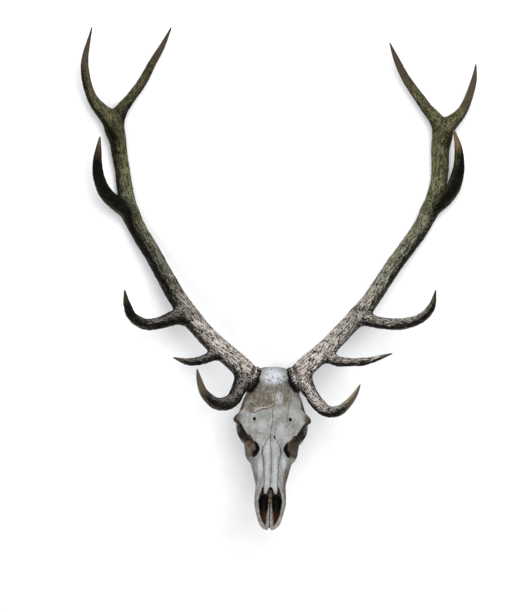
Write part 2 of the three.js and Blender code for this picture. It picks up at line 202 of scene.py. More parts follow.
def sweep(route, sides=20, rows=48, flat=1.0, up=(0, 0, 1)):
    """A closed solid along a route of [x, y, z, radius] rows, flat times as deep as wide."""
    route = np.asarray(route, float)
    last = len(route) - 1
    mesh = long_tube(sides, rows)
    along, turn, edge = tube_places(mesh)
    place = last * along
    centre = spline(route[:, :3], place)
    step = 0.01
    tangent = (spline(route[:, :3], np.minimum(place + step, last))
               - spline(route[:, :3], np.maximum(place - step, 0)))
    tangent /= np.linalg.norm(tangent, axis=1, keepdims=True)
    across = np.cross(tangent, up)
    across /= np.linalg.norm(across, axis=1, keepdims=True)
    over = np.cross(across, tangent)
    radius = smooth_profile(list(enumerate(route[:, 3])))(place) * edge
    angle = turn * 2 * math.pi
    wide = (radius * np.cos(angle))[:, None]
    deep = (radius * flat * np.sin(angle))[:, None]
    set_spots(mesh, centre + across * wide + over * deep)
    return faces_out(mesh)


def lump(centre, radii):
    """An ellipsoid."""
    bm = bmesh.new()
    bmesh.ops.create_uvsphere(bm, u_segments=32, v_segments=20, radius=1)
    bmesh.ops.scale(bm, verts=bm.verts, vec=radii)
    bmesh.ops.translate(bm, verts=bm.verts, vec=centre)
    return mesh_from(bm)


def mirror_mesh(mesh):
    """The same shape on the other side of the head."""
    other = mesh.copy()
    set_spots(other, spots_of(other) * (-1, 1, 1))
    return faces_out(other)


def both(meshes):
    """Meshes of the left side, each with its mirror image."""
    return [half for mesh in meshes for half in (mesh, mirror_mesh(mesh))]


def joined(meshes):
    """One mesh that holds several."""
    bm = bmesh.new()
    for mesh in meshes:
        bm.from_mesh(mesh)
    whole = bpy.data.meshes.new("joined")
    bm.to_mesh(whole)
    bm.free()
    return whole


def finished(mesh, add_modifiers):
    """The mesh after the modifiers that add_modifiers(object) puts on it."""
    thing = bpy.data.objects.new("work", mesh)
    bpy.context.scene.collection.objects.link(thing)
    add_modifiers(thing)
    depsgraph = bpy.context.evaluated_depsgraph_get()
    result = bpy.data.meshes.new_from_object(thing.evaluated_get(depsgraph))
    bpy.data.objects.remove(thing)
    return result


def fused(meshes, grain):
    """The union of overlapping closed meshes, as one even mesh."""
    def add_remesh(thing):
        remesh = thing.modifiers.new("even", "REMESH")
        remesh.mode = "VOXEL"
        remesh.voxel_size = grain
    return finished(joined(meshes), add_remesh)


def carved(mesh, cutter):
    """The mesh without the room that the cutter takes."""
    tool = bpy.data.objects.new("cutter", cutter)
    bpy.context.scene.collection.objects.link(tool)

    def add_cut(thing):
        cut = thing.modifiers.new("cut", "BOOLEAN")
        cut.operation = "DIFFERENCE"
        cut.object = tool
        cut.solver = "MANIFOLD"
    result = finished(mesh, add_cut)
    bpy.data.objects.remove(tool)
    return result


def relaxed(mesh, spots, rounds):
    """Spots eased halfway to their neighbours' average, several times over."""
    flat = np.empty(len(mesh.edges) * 2, dtype=np.int32)
    mesh.edges.foreach_get("vertices", flat)
    a, b = flat.reshape(-1, 2).T
    count = len(spots)
    degree = np.maximum(np.bincount(a, minlength=count) + np.bincount(b, minlength=count), 1)
    for _ in range(rounds):
        total = np.stack([np.bincount(a, spots[b, k], count) + np.bincount(b, spots[a, k], count)
                          for k in range(3)], axis=1)
        spots = spots + 0.5 * (total / degree[:, None] - spots)
    return spots


def add_attributes(mesh, **tables):
    """Stores one number, or three, for each vertex, under each table's name."""
    for name, values in tables.items():
        kind, field = ("FLOAT", "value") if np.ndim(values) == 1 else ("FLOAT_VECTOR", "vector")
        layer = mesh.attributes.new(name, kind, "POINT")
        layer.data.foreach_set(field, np.asarray(values, dtype=np.float32).ravel())


def add_piece(name, mesh, place, material, *nodes):
    """Puts a shape, drawn in millimetres, on the frame as a smooth piece."""
    spots = turned(spots_of(mesh), place)
    spots[:, 2] = np.maximum(spots[:, 2], 0)
    set_spots(mesh, spots)
    mesh.name = name
    mesh.shade_smooth()
    mesh.materials.clear()
    mesh.materials.append(material)
    piece = bpy.data.objects.new(name, mesh)
    bpy.context.scene.collection.objects.link(piece)
    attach(piece, "root")
    if nodes:
        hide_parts(*nodes)
    return piece


# ---------------------------------------------------------------- skull shape

BODY = {
    "crown": [(-330, -59), (-311, -55), (-295, -49), (-269, -35), (-246, -14), (-232, -7), (-150, -5),
              (-111, -8), (-75, -4), (-30, 2), (0, 4), (20, 0), (50, -14), (66, -38)],
    "shoulder": [(-330, 6), (-318, 15), (-298, 22), (-269, 26), (-246, 22), (-200, 20), (-150, 25),
                 (-125, 42), (-105, 57), (-85, 67), (-70, 74), (-50, 69), (-28, 65), (-5, 58),
                 (20, 41), (50, 27), (66, 22)],
    "shoulder_height": [(-330, -60), (-295, -51), (-269, -38), (-246, -19), (-200, -14), (-150, -15),
                        (-105, -14), (-70, -15), (-28, -9), (-5, -8), (20, -12), (50, -26), (66, -44)],
    "side": [(-330, 9), (-326, 17), (-318, 24.5), (-298, 31), (-269, 37.4), (-250, 36.5), (-224, 35.3),
             (-200, 41), (-174, 47), (-150, 52), (-125, 46), (-105, 34), (-75, 33), (-45, 40),
             (0, 46), (25, 48), (45, 55), (66, 42)],
    "side_height": [(-330, -62), (-269, -52), (-224, -54), (-163, -60), (-125, -46), (-75, -36),
                    (-15, -40), (25, -46), (50, -58), (66, -62)],
    "base": [(-330, 6), (-318, 16), (-295, 26), (-269, 30), (-246, 24), (-224, 22), (-194, 33),
             (-150, 44), (-112, 40), (-90, 22), (-60, 17), (-15, 26), (30, 34), (66, 24)],
    "base_height": [(-330, -65), (-246, -62), (-224, -66), (-194, -74), (-130, -87), (-100, -88),
                    (-75, -78), (-15, -76), (30, -84), (66, -84)],
    "keel": [(-330, -66), (-246, -62), (-205, -64), (-150, -78), (-100, -86), (-70, -82), (0, -88),
             (40, -92), (66, -92)],
}
PASSAGE = {
    "crown": [(-321, -40), (-240, -12), (-170, -16)],
    "shoulder": [(-321, 6), (-295, 17), (-269, 22), (-246, 18), (-170, 8)],
    "shoulder_height": [(-321, -42), (-240, -14), (-170, -18)],
    "side": [(-321, 8), (-311, 14), (-295, 21), (-269, 26), (-246, 24), (-170, 9)],
    "side_height": [(-321, -50), (-269, -44), (-170, -32)],
    "base": [(-321, 6), (-295, 17), (-269, 22), (-246, 20), (-170, 7)],
    "base_height": [(-321, -56), (-246, -50), (-170, -42)],
    "keel": [(-321, -56), (-246, -51), (-170, -44)],
}
NOSE_TIP = -330
OCCIPUT_BACK = 66
PASSAGE_ENDS = (-321, -170)

# Shapes of the left side: routes, each row [x, y, z, radius], and lumps, each [middle, radii].
ARCH = [[45, -160, -62, 7.5], [54, -137, -60, 8.5], [61, -114, -60, 6.4], [73, -102, -61, 6],
        [78.5, -88, -61, 5.6], [79.5, -66, -61, 5.5], [70, -30, -58, 4.8], [60, -4, -56, 5.5],
        [42, 18, -54, 8]]
BROW_HORN = [[54, -60, -14, 17], [68, -65, -15, 13], [80, -69, -18, 8.5], [90, -71, -21, 3.2]]
BROW_RIM = [[53, -113, -19, 4], [62, -97, -17.5, 5], [72, -80, -17.5, 5.6], [83, -73, -22, 5.6],
            [86, -70, -38, 6.2], [82, -68, -52, 6.4], [79, -66, -61, 7]]
CHEEK = [(44, -138, -64), (18.5, 30, 20)]
SOCKET = [(68, -95, -42), (27, 25, 20)]
RECESS = [[79, -92, -40, 10], [67, -111, -37, 12], [54, -127, -33, 12], [43.5, -141, -30, 11],
          [41.5, -150, -31, 7.5]]
VACUITY = [[39, -125, -20, 2.4], [35, -135, -23, 4.6], [31, -145.5, -26, 5.2], [36.5, -150.5, -29.5, 4.4],
           [42.5, -155.5, -33.5, 2]]
VACUITY_MIDDLE = [(34.5, -141, -26), (6.5, 10, 12)]
VACUITY_FLAT = 1.7
CHEEK_FLOOR = [(57, -91, -70), (22, 31, 10)]
TOOTH_BED = [(33.5, -158, -74), (13, 34, 11)]
NECK_KNOB = [(21, 64, -86), (13, 17, 15)]
EAR_CAPSULE = [(25, 4, -92), (10, 16, 11)]
SPUR = [[34, 40, -84, 12], [37, 44, -108, 8], [37, 47, -128, 5.5], [36, 49, -136, 4]]
MASTOID = [[44, 26, -52, 12], [55, 36, -64, 9], [52, 40, -86, 6]]
NASAL = [[4, -112, -9.5, 3.4], [8.6, -130, -8.0, 6.8], [11.4, -156, -7.2, 10.8], [9.4, -175, -7.2, 9.4],
         [8.6, -205, -7.6, 8.2], [8.6, -230, -9.4, 7.6], [10.6, -245, -15.5, 6.0], [12.2, -255, -21, 4]]
PALATINE_BAR = [[3.3, -246, -44, 2.2], [3.3, -270, -47, 2.6], [3.3, -298, -52, 2.8], [3.8, -326, -58, 3.4]]
SEPTUM = [[0, -238, -44, 4], [0, -247, -45, 3.2], [0, -264, -48, 1.8]]
NOSE_POCKET = [[13, -258, -48, 9], [14.5, -280, -51, 9], [13.5, -300, -53.5, 7], [10.5, -314, -57, 4]]
PEDICLE_BASE = (42, -6, -12)
PEDICLE_RADII = (22, 18.5, 19.5)
# Holes and hollows.
FORAMEN = (42, -77, -6)          # hole above the eye
FORAMEN_ROUTE = [[*FORAMEN[:2], FORAMEN[2] + rise, radius]
                 for rise, radius in ((-16, 2.6), (-6, 3), (8, 4.2))]
SLIT = (6.5, -121, -8)           # small hole beside the nasal root, on the left
CHEEK_HOLE = [[44, -214, -50, 3], [34, -208, -50, 3.4], [26, -198, -50, 2.5]]
EAR_HOLE = [[66, 20, -58, 4.6], [50, 16, -60, 4.2], [38, 12, -62, 3]]
PALATE = [(0, -158, -100), (21, 72, 25)]
CHOANA = [(0, -78, -88), (10, 21, 15)]
NECK_HOLE = [(0, 78, -76), (15, 34, 14)]
SLIT_HOLE = [SLIT, (1.9, 4.2, 7)]
NOSE_NOTCH = [(0, NOSE_TIP + 1, -60), (2.3, 9, 14)]


def skull_sections(table):
    return {name: smooth_profile(pairs) for name, pairs in table.items()}


def pedicle_route(side):
    """From the forehead to the antler's root, in the skull frame."""
    base = np.array(PEDICLE_BASE) * (side, 1, 1)
    root = np.array(ANTLERS["left" if side > 0 else "right"]["beam"][0][:3], float)
    root = turned(root[None], ANTLER_TO_SKULL)[0]
    stations = [base, (base + root) / 2, root]
    return [[*spot, radius] for spot, radius in zip(stations, PEDICLE_RADII)]


def skull_additions():
    """Closed shapes that the skull's body grows together with."""
    sides = [sweep(ARCH, flat=1.5), sweep(BROW_RIM), sweep(BROW_HORN, flat=0.42), lump(*CHEEK),
             lump(*CHEEK_FLOOR), sweep(MASTOID, up=(0, 1, 0)), sweep(SPUR, flat=1.3, up=(0, 1, 0)),
             lump(*NECK_KNOB), lump(*EAR_CAPSULE), lump(*TOOTH_BED)]
    return both(sides) + [sweep(pedicle_route(side), sides=32) for side in (1, -1)]


def skull_hollows():
    """Closed shapes of the rooms inside the skull and the holes through it."""
    rooms = [loft(skull_sections(PASSAGE), *PASSAGE_ENDS, 48, 60), lump(*NECK_HOLE), lump(*PALATE),
             lump(*CHOANA)]
    sides = [sweep(FORAMEN_ROUTE, up=(0, 1, 0)), sweep(RECESS), sweep(VACUITY, flat=VACUITY_FLAT),
             lump(*VACUITY_MIDDLE), lump(*SOCKET), sweep(CHEEK_HOLE), sweep(EAR_HOLE, up=(0, 1, 0)),
             sweep(NOSE_POCKET)]
    return rooms + both(sides) + [lump(*SLIT_HOLE), lump(*NOSE_NOTCH)]


def skull_fittings():
    """Thin bones that stand clear in the nose opening."""
    return both([sweep(NASAL, flat=0.42), sweep(PALATINE_BAR, flat=1.2)]) + [sweep(SEPTUM, flat=2.5)]


def skull_shape():
    body = loft(skull_sections(BODY), NOSE_TIP, OCCIPUT_BACK, 96, 220)
    rough = fused([body] + skull_additions(), BONE_GRAIN)
    open_skull = carved(rough, fused(skull_hollows(), HOLLOW_GRAIN))
    mesh = fused([open_skull] + skull_fittings(), BONE_GRAIN)
    set_spots(mesh, relaxed(mesh, spots_of(mesh), 3))
    return mesh


# ---------------------------------------------------------------- antler shape

# Routes in the antler frame, each row [across, up, out, radius], from the root to the tip.
ANTLERS = {
    "right": {
        "burr_axis": (-0.82, 0.50, 0.27),
        "beam": [
            [-53, 23, 16, 25], [-79, 49, 26, 24.5], [-122, 85, 28, 22.7], [-161, 119, 24, 22.3],
            [-224, 194, 13, 21.4], [-287, 297, 5, 20.2], [-347, 400, 8, 20.2], [-369, 510, 34.6, 17.5],
            [-388, 599, 80, 20.5], [-434, 656, 112, 12.2], [-451, 726, 146, 9], [-435, 812, 168, 1.6]],
        "brow_tine": [
            [-71, 14, 28, 20], [-82, -8, 52, 17], [-93, -28, 82, 16], [-111, -37, 114, 15.2],
            [-135, -32, 146, 13.2], [-158, -9, 172, 9.7], [-169, 21, 190, 6.3], [-174, 45, 201, 1.6]],
        "bez_tine": [
            [-129, 81, 26, 13.5], [-153, 67, 46, 11], [-179, 58, 68, 9.3], [-201, 57, 86, 8.1],
            [-232, 66, 107, 1.6]],
        "trez_tine": [
            [-207, 162, 16, 20], [-234, 158, 34, 17.3], [-267, 145, 62, 13.9], [-299, 141, 90, 12.7],
            [-327, 156, 115, 11.2], [-340, 184, 132, 8.7], [-346, 219, 143, 1.6]],
        "crown_tine": [
            [-345, 395, 9, 14], [-368, 413, 38, 17], [-400, 440, 68, 15.8], [-416, 475, 88, 13.4],
            [-420, 511, 99, 10.6], [-418, 539, 104, 7.4], [-415, 570, 106, 1.6]],
        "fork_inner": [
            [-386, 588, 74, 16.5], [-370, 630, 92, 15.2], [-349, 658, 103, 11.5], [-320, 698, 116, 10.6],
            [-299, 737, 128, 9], [-277, 775, 138, 6.6], [-256, 819, 147, 1.6]],
    },
    "left": {
        "burr_axis": (0.82, 0.50, 0.27),
        "beam": [
            [55, 25, 16, 25], [79, 55, 26, 23.4], [116, 89, 28, 21.5], [151, 126, 24, 21.1],
            [214, 199, 13, 19.9], [275, 293, 5, 19.1], [346, 402, 10, 19.7], [373, 487, 28, 19.4],
            [377, 602, 78, 20.5], [417, 653, 110, 11.2], [437, 716, 134, 7.2], [440, 755, 147, 1.6]],
        "brow_tine": [
            [72, 13, 28, 20], [87, -9, 50, 15.6], [104, -33, 80, 15.3], [125, -47, 112, 13.8],
            [149, -44, 144, 11.6], [171, -23, 170, 8.8], [186, 1, 188, 5.7], [194, 20, 199, 1.6]],
        "bez_tine": [
            [114, 82, 26, 13.5], [147, 67, 46, 11.7], [181, 66, 68, 9.5], [214, 70, 90, 8.3],
            [270, 90, 120, 1.6]],
        "trez_tine": [
            [199, 173, 16, 19], [232, 161, 36, 13.8], [267, 157, 62, 13.5], [299, 159, 88, 12.9],
            [332, 172, 114, 11.5], [355, 198, 134, 8.9], [363, 238, 147, 1.6]],
        "crown_tine": [
            [353, 424, 12, 14.5], [384, 448, 40, 17.2], [404, 479, 70, 16.7], [412, 513, 92, 14.1],
            [412, 546, 105, 11], [407, 575, 112, 7.6], [396, 608, 117, 1.6]],
        "fork_inner": [
            [376, 592, 72, 16.5], [359, 629, 92, 15.7], [335, 655, 103, 12.9], [306, 690, 117, 11.5],
            [279, 726, 130, 9.4], [260, 760, 140, 7.1], [242, 798, 150, 1.6]],
    },
}
TINES = ("beam", "brow_tine", "bez_tine", "trez_tine", "crown_tine", "fork_inner")
TIP_WEAR = (190, 125, 40, 56, 88, 170)     # how far the smooth tip of each of them reaches down
TINE_SHADE = {"right": (0, 0.1, 0.12, 0.45, 1, 0.1),      # how much painted shade darkens each of them all round
        "left": (0, 0.1, 0, 0.3, 0.78, 0.1)}
LIT_SIDE = {"right": 0.56, "left": 0.3}  # how much of each antler's top is free of painted shade
FORK_FILLET = 5.5                # how softly neighbouring tines flow together
BURR_RADIUS = 29.5
BURR_THICKNESS = 10.5
BEAM_TOP = 820                   # how high up the antler its change of colour ends
GROOVE_DEPTH = 2.3
EVEN_LEVEL = 0.62                # the height of the bark that lies on the plain beam's surface
DRIFT_SIZE, DRIFT = 17, 3.2      # how slowly and how far the grooves wander
GROOVE_SIZE, FINE_SIZE, BEAD_SIZE = 5.2, 3.1, 3.6
GROOVE_STRETCH = 0.16            # a groove's width over its length
SKY_SIDE = (0.3, 0.62, 0.55)     # the way that the lit side of the right antler faces, which the painted shade leaves free
# How softly the painted shade fades in from the lit side.
SHADE_FADE = 0.67
BURR_RELIEF = 5.2
BURR_KNOBS = 23
ROOT_DEPTH = 3                   # how far the beam reaches into its burr


class Stem:
    """The middle line of a beam or tine, for measuring from."""

    def __init__(self, rows, count=180):
        rows = np.asarray(rows, float)
        places = np.linspace(0, len(rows) - 1, count)
        self.spots = spline(rows[:, :3], places)
        self.radii = smooth_profile(list(enumerate(rows[:, 3])))(places)
        steps = np.linalg.norm(np.diff(self.spots, axis=0), axis=1)
        self.lengths = np.concatenate([[0], np.cumsum(steps)])
        self.tangents = np.gradient(self.spots, axis=0)
        self.tangents /= np.linalg.norm(self.tangents, axis=1, keepdims=True)
        self.slopes = np.gradient(self.radii, self.lengths)
        across = np.cross(self.tangents[0], (0.3, 0.2, 1))
        sides = []
        for tangent in self.tangents:
            across = across - tangent * across.dot(tangent)
            across = across / np.linalg.norm(across)
            sides.append(across)
        self.across = np.array(sides)
        self.over = np.cross(self.tangents, self.across)

    def measure(self, points):
        """Height over the stem's surface, way out of it, and the place in its own frame."""
        low = points.astype(np.float32)
        line = self.spots.astype(np.float32)
        square = (low ** 2).sum(1)[:, None] + (line ** 2).sum(1)[None] - 2 * low @ line.T
        nearest = np.argmin(np.sqrt(np.maximum(square, 0)) - self.radii.astype(np.float32), axis=1)
        offset = ((points - self.spots[nearest]) * self.tangents[nearest]).sum(1)
        reach = self.lengths[-1] / len(self.lengths)
        past_tip = nearest == len(self.lengths) - 1
        before_root = nearest == 0
        offset = np.clip(offset, np.where(before_root, 0, -reach), np.where(past_tip, 0, reach))
        centre = self.spots[nearest] + self.tangents[nearest] * offset[:, None]
        out = points - centre
        distance = np.maximum(np.linalg.norm(out, axis=1), TINY)
        height = distance - (self.radii[nearest] + self.slopes[nearest] * offset)
        local = np.stack([(out * self.across[nearest]).sum(1), (out * self.over[nearest]).sum(1),
                          self.lengths[nearest] + offset], axis=1)
        return height, out / distance[:, None], local


def blended(stems, points):
    """Height over the smoothly joined stems, the way out, each stem's share, and its local places."""
    found = [stem.measure(points) for stem in stems]
    heights = np.array([height for height, _, _ in found])
    lowest = heights.min(axis=0)
    parts = np.exp(-(heights - lowest) / FORK_FILLET)
    total = parts.sum(axis=0)
    shares = parts / total
    way = sum(share[:, None] * out for share, (_, out, _) in zip(shares, found))
    length = np.maximum(np.linalg.norm(way, axis=1), 0.3)
    height = lowest - FORK_FILLET * np.log(total)
    return height, way / length[:, None], length, shares, [local for _, _, local in found]


def bark(local, seed):
    """Height, 0 to 1, of the long ridges, grooves and beads of antler, in a stem's own frame."""
    drift = [swell(local, DRIFT_SIZE, seed + k) * DRIFT for k in (5, 6)]
    long_places = np.stack([local[:, 0] + drift[0], local[:, 1] + drift[1],
                            local[:, 2] * GROOVE_STRETCH], axis=1)
    groove = np.abs(swell(long_places, GROOVE_SIZE, seed))
    fine_groove = np.abs(swell(long_places * (1, 1, 1.9), FINE_SIZE, seed + 1))
    beads = 0.5 + 0.5 * swell(local * (1, 1, 0.6), BEAD_SIZE, seed + 2)
    ridge = np.clip(groove * 3.0, 0, 1) * 0.55 + np.clip(fine_groove * 2.8, 0, 1) * 0.45
    return np.clip(ridge * (0.7 + 0.45 * beads), 0, 1)


def antler_shape(side, seed):
    """One antler in the antler frame, with its marks and its painted shade stored on the vertices."""
    routes = [ANTLERS[side][name] for name in TINES]
    stems = [Stem(rows) for rows in routes]
    mesh = fused([sweep(rows, sides=28, rows=16 * len(rows)) for rows in routes], ANTLER_GRAIN)
    spots = spots_of(mesh)
    for _ in range(3):
        height, way, length, _, _ = blended(stems, spots)
        spots = spots - way * (height / length)[:, None]
    spots = relaxed(mesh, spots, 2)
    height, way, length, shares, locals_ = blended(stems, spots)
    spots = spots - way * (height / length)[:, None]

    axis = np.array(Vector(ANTLERS[side]["burr_axis"]).normalized())
    behind = np.minimum((spots - routes[0][0][:3]) @ axis + ROOT_DEPTH, 0)
    spots = spots - axis * behind[:, None]

    relief = np.zeros(len(spots))
    polish = np.zeros(len(spots))
    grain = np.zeros((len(spots), 3))
    for k, (stem, share, local) in enumerate(zip(stems, shares, locals_)):
        near = share > 0.02
        relief[near] += share[near] * bark(local[near], seed + 11 * k)
        from_tip = stem.lengths[-1] - local[:, 2]
        polish += share * ramp(TIP_WEAR[k], 12, from_tip)
        grain = np.where((share == shares.max(axis=0))[:, None], local, grain)
    rise = np.clip(spots[:, 1] / BEAM_TOP, 0, 1)
    depth = (GROOVE_DEPTH - 1.0 * ramp(0.1, 0.7, rise)) * (1 - 0.9 * polish)
    big_swell = swell(spots, 34, seed + 3) * 0.6
    spots = spots + way * ((relief - EVEN_LEVEL) * depth + big_swell * (1 - polish))[:, None]
    set_spots(mesh, spots)
    # Painted shade, stored as under: dark on the side that faces away from the lit side, more on the tines
    # and the mid-beam, all round some tines, and in a band by the burr; eased on the sides that face right
    # away.
    facing = normals_of(mesh) @ (np.array(SKY_SIDE) * (-1 if side == "left" else 1, 1, 1))
    painted_shade = sum(share * dark for share, dark in zip(shares, TINE_SHADE[side]))
    shelter = np.maximum(0.72 * (1 - shares[0]) * ramp(0.85, 0.6, rise),
                         0.5 * ramp(0.08, 0.3, rise) * ramp(0.6, 0.4, rise))
    root_gap = np.abs((spots - routes[0][0][:3]) @ axis - 10)
    lit = LIT_SIDE[side]
    under = np.maximum.reduce([ramp(lit, lit - SHADE_FADE, facing - shelter),
                               painted_shade * (1 - ramp(0.3, 0.9, polish)),
                               0.8 * ramp(9, 3, root_gap) * shares[0]])
    under *= 1 - 0.42 * ramp(0, -0.5, facing)
    add_attributes(mesh, under=under, relief=relief, polish=polish, rise=rise, grain=grain,
                   hold=ramp(0.55, 0.85, shares.max(axis=0)))
    return mesh


def burr_shape(side, seed):
    """The beaded ring round an antler's root, in the antler frame."""
    axis = Vector(ANTLERS[side]["burr_axis"]).normalized()
    centre = Vector(ANTLERS[side]["beam"][0][:3]) - axis * ROOT_DEPTH
    bm = bmesh.new()
    reach = BURR_RADIUS - BURR_THICKNESS
    bmesh.ops.create_circle(bm, segments=44, radius=BURR_THICKNESS - 0.6,
                            matrix=Matrix.Translation((reach, 0, 0)) @ Matrix.Rotation(math.pi / 2, 4, "X"))
    bmesh.ops.spin(bm, geom=bm.edges[:] + bm.verts[:], cent=(0, 0, 0), axis=(0, 0, 1),
                   angle=2 * math.pi, steps=150, use_merge=True)
    bmesh.ops.remove_doubles(bm, verts=bm.verts, dist=1e-4)
    mesh = mesh_from(bm)
    spots = spots_of(mesh)
    ring = np.stack([spots[:, 0], spots[:, 1], 0 * spots[:, 0]], axis=1)
    ring = ring / np.linalg.norm(ring, axis=1, keepdims=True) * reach
    out = spots - ring
    out /= np.linalg.norm(out, axis=1, keepdims=True)
    angle = np.arctan2(spots[:, 1], spots[:, 0])
    knobs = 0.5 + 0.5 * np.cos(BURR_KNOBS * angle + 2.6 * swell(ring, 14, seed))
    beads = swell(spots, 5.2, seed + 1)
    fine = swell(spots, 2.8, seed + 2)
    relief = np.clip(0.2 + 0.42 * knobs + 0.75 * beads + 0.3 * fine, 0, 1)
    spots = spots + out * ((relief - EVEN_LEVEL) * BURR_RELIEF)[:, None]
    # Painted shade, stored as under: dark on the side that faces the skull and between the knobs.
    under = np.maximum(ramp(0.35, -0.5, out[:, 2]), ramp(0.72, 0.3, relief))
    turn = axis.to_track_quat("Z", "Y").to_matrix()
    spots = spots @ np.array(turn).T + np.array(centre)
    set_spots(mesh, spots)
    add_attributes(mesh, under=under, relief=relief, polish=0 * relief, rise=0 * relief, grain=spots,
                   hold=0 * relief + 1)
    return faces_out(mesh)


# ---------------------------------------------------------------- marks on the bone

# Seams that run along the skull: places [y, x], and for those on both sides [y, distance from x = 0].
MIDLINE = [(-244, -1.4), (-205, 0.4), (-160, -0.9), (-111, -3.2), (-82, 0.9), (-51, -0.6)]
NASAL_EDGE = [(-238, 15.6), (-204, 16.9), (-172, 19.2), (-158, 22.6), (-146, 19.4), (-128, 10.2),
              (-112, 1.2)]
BROW_GROOVE = [(-82, 34.4), (-60, 36.6), (-35, 38.9)]
MUZZLE_SEAM = [(-266, 39), (-250, 32), (-232, 24), (-213, 17.4)]
# Seams that run across it: places [x, y].
CRACK = [(-49, -54), (-45.8, -61.5), (-36.8, -59.5), (-23.5, -54), (-10, -52), (1.8, -45.7), (6.2, -42.3)]
CROWN_SEAM = [(-40, 12), (-22, 20), (-8, 18), (4, 24), (18, 18), (40, 13)]
SMALL_PITS = [(-4.9, 49.5), (-2.3, 26.2), (9.9, 21.1), (18.2, 18.8), (-22.2, 10.6), (25, 30),
              (-15, 34), (13, 25), (24, 13), (-12, 17), (-7, 14), (-48, -43), (-43, -54.5),
              (-21.7, -47.3), (-52, -40)]
BROW_KNOT = (1.4, -29.7, 0)
ALONG_WIDTH, ACROSS_WIDTH, SEAM_DEPTH = 1.9, 2.1, 0.9
# Soft marks, each [strength, middle, radii, softness]. The first lists are for the side that is given,
# and the "both" lists for the left side and its mirror image.
# Shade and edge marks are painted shade, partly over real grey-brown; dark marks are painted shade in small
# holes and gaps, and darken the brow horns' tips; cheek marks are brown with some painted shade; pale marks
# are bleached bone with painted highlight.
MARKS = {
    "shade": [[0.6, (38, -236, -44), (15, 66, 34), 0.5], [1, (0, -22, 0), (90, 52, 50), 0.75],
              [0.58, (-34, -92, -6), (46, 40, 30), 0.5], [0.62, (34, -92, -6), (46, 40, 30), 0.5]],
    "shade both": [[0.9, (44, 4, -6), (30, 36, 30), 0.5]],
    "stain": [[1, (-58, -16, -20), (26, 44, 40), 0.5], [0.8, (62, 0, -20), (24, 34, 40), 0.5],
              [0.75, (-50, -50, -8), (20, 17, 20), 0.5], [0.55, (-24, -40, 0), (30, 12, 20), 0.5],
              [0.5, (30, -26, 0), (12, 16, 20), 0.5]],
    "stain both": [[1, (84, -72, -22), (19, 20, 20), 0.5], [1, (60, 14, 6), (20, 28, 30), 0.5]],
    "cheek both": [[0.85, (75, -92, -54), (24, 32, 26), 0.6]],
    "dark": [[1, SLIT, (2.7, 5.2, 9), 0.35]],
    "dark both": [[1, (44, -214, -50), (5, 5, 5), 0.5], [1, (58, 18, -59), (9, 7, 7), 0.4],
                  [0.8, (20.5, -153, -14), (2.8, 9, 10), 0.5],
                  [0.62, (92, -76, -27), (21, 16, 20), 0.6]],
    "knots": [[0.6, BROW_KNOT, (4, 8.5, 20), 0.3], [0.6, (-42, -53, 0), (6, 4, 20), 0.4],
              [0.3, (-52, -30, -8), (6, 14, 20), 0.5]],
    "pale": [[0.6, (-25, -192, -22), (11, 34, 22), 0.8], [0.6, (29, -178, -24), (9, 20, 20), 0.8],
             [0.9, (0, 30, -2), (44, 30, 40), 0.7], [0.3, (-24, -92, -8), (17, 22, 18), 0.9],
             [0.35, (22, -100, -8), (17, 24, 18), 0.9], [0.5, (14, -28, 2), (14, 22, 18), 0.8]],
    "edge": [[0.8, (47, -181, -44), (9, 24, 22), 0.6], [0.55, (-36, -216, -40), (8, 20, 24), 0.5],
             [1, (39, -222, -42), (15, 54, 30), 0.5]],
    "edge both": [[1, (91, -70, -22), (16, 15, 16), 0.6]],
}


def blob(spots, centre, radii, soft=0.5):
    """1 inside an ellipsoid, fading to 0 at its surface."""
    return ramp(1, 1 - soft, np.linalg.norm((spots - centre) / radii, axis=1))


def folded_over(spots, vectors):
    """The vectors at the spots, mirrored to the left side where they are on the right."""
    return vectors * np.where(spots[:, :1] < 0, (-1, 1, 1), (1, 1, 1))


def painted(name, spots, *more):
    """The strongest of a tone's marks at each spot, or of more masks for the same tone."""
    folded = folded_over(spots, spots)
    marks = [(spots, mark) for mark in MARKS.get(name, [])]
    marks += [(folded, mark) for mark in MARKS.get(name + " both", [])]
    return np.maximum.reduce([strength * blob(place, middle, radii, soft)
                              for place, (strength, middle, radii, soft) in marks] + list(more))


def inside(route, spots, normals, reach=3.0, flat=1.0):
    """1 on the walls of a hole that was cut along a route, and 0 away from it."""
    squashed = np.array([1, 1, 1 / flat])
    rows = np.array(route, float)
    rows[:, :3] *= squashed
    height, way, _ = Stem(rows, 60).measure(spots * squashed)
    return ramp(reach, reach * 0.4, height) * ramp(0.25, -0.15, (way * normals).sum(axis=1))


def seam_marks(spots):
    """Signed distances to the seams in mm, and how far each seam reaches, as four vectors."""
    x, y, z = spots.T
    wide = np.abs(x)
    face = ramp(-40, -28, z)
    along = np.stack([x - smooth_profile(MIDLINE)(y), wide - smooth_profile(NASAL_EDGE)(y),
                      x - smooth_profile(BROW_GROOVE)(y)], axis=1)
    along_keep = np.stack([np.maximum(face * ramp(-48, -54, y), ramp(-264, -272, y)),
                           face * ramp(-110, -115, y) * ramp(-243, -237, y),
                           0.8 * face * ramp(-86, -80, y) * ramp(-32, -40, y)], axis=1)
    across = np.stack([y - smooth_profile(CRACK)(x), y - smooth_profile(CROWN_SEAM)(x),
                       wide - smooth_profile(MUZZLE_SEAM)(y)], axis=1)
    across_keep = np.stack([face * ramp(-50, -46, x) * ramp(9, 5, x), 0.55 * face * ramp(42, 34, wide),
                            0.85 * ramp(-212, -216, y) * ramp(-268, -262, y)], axis=1)
    return along, along_keep, across, across_keep


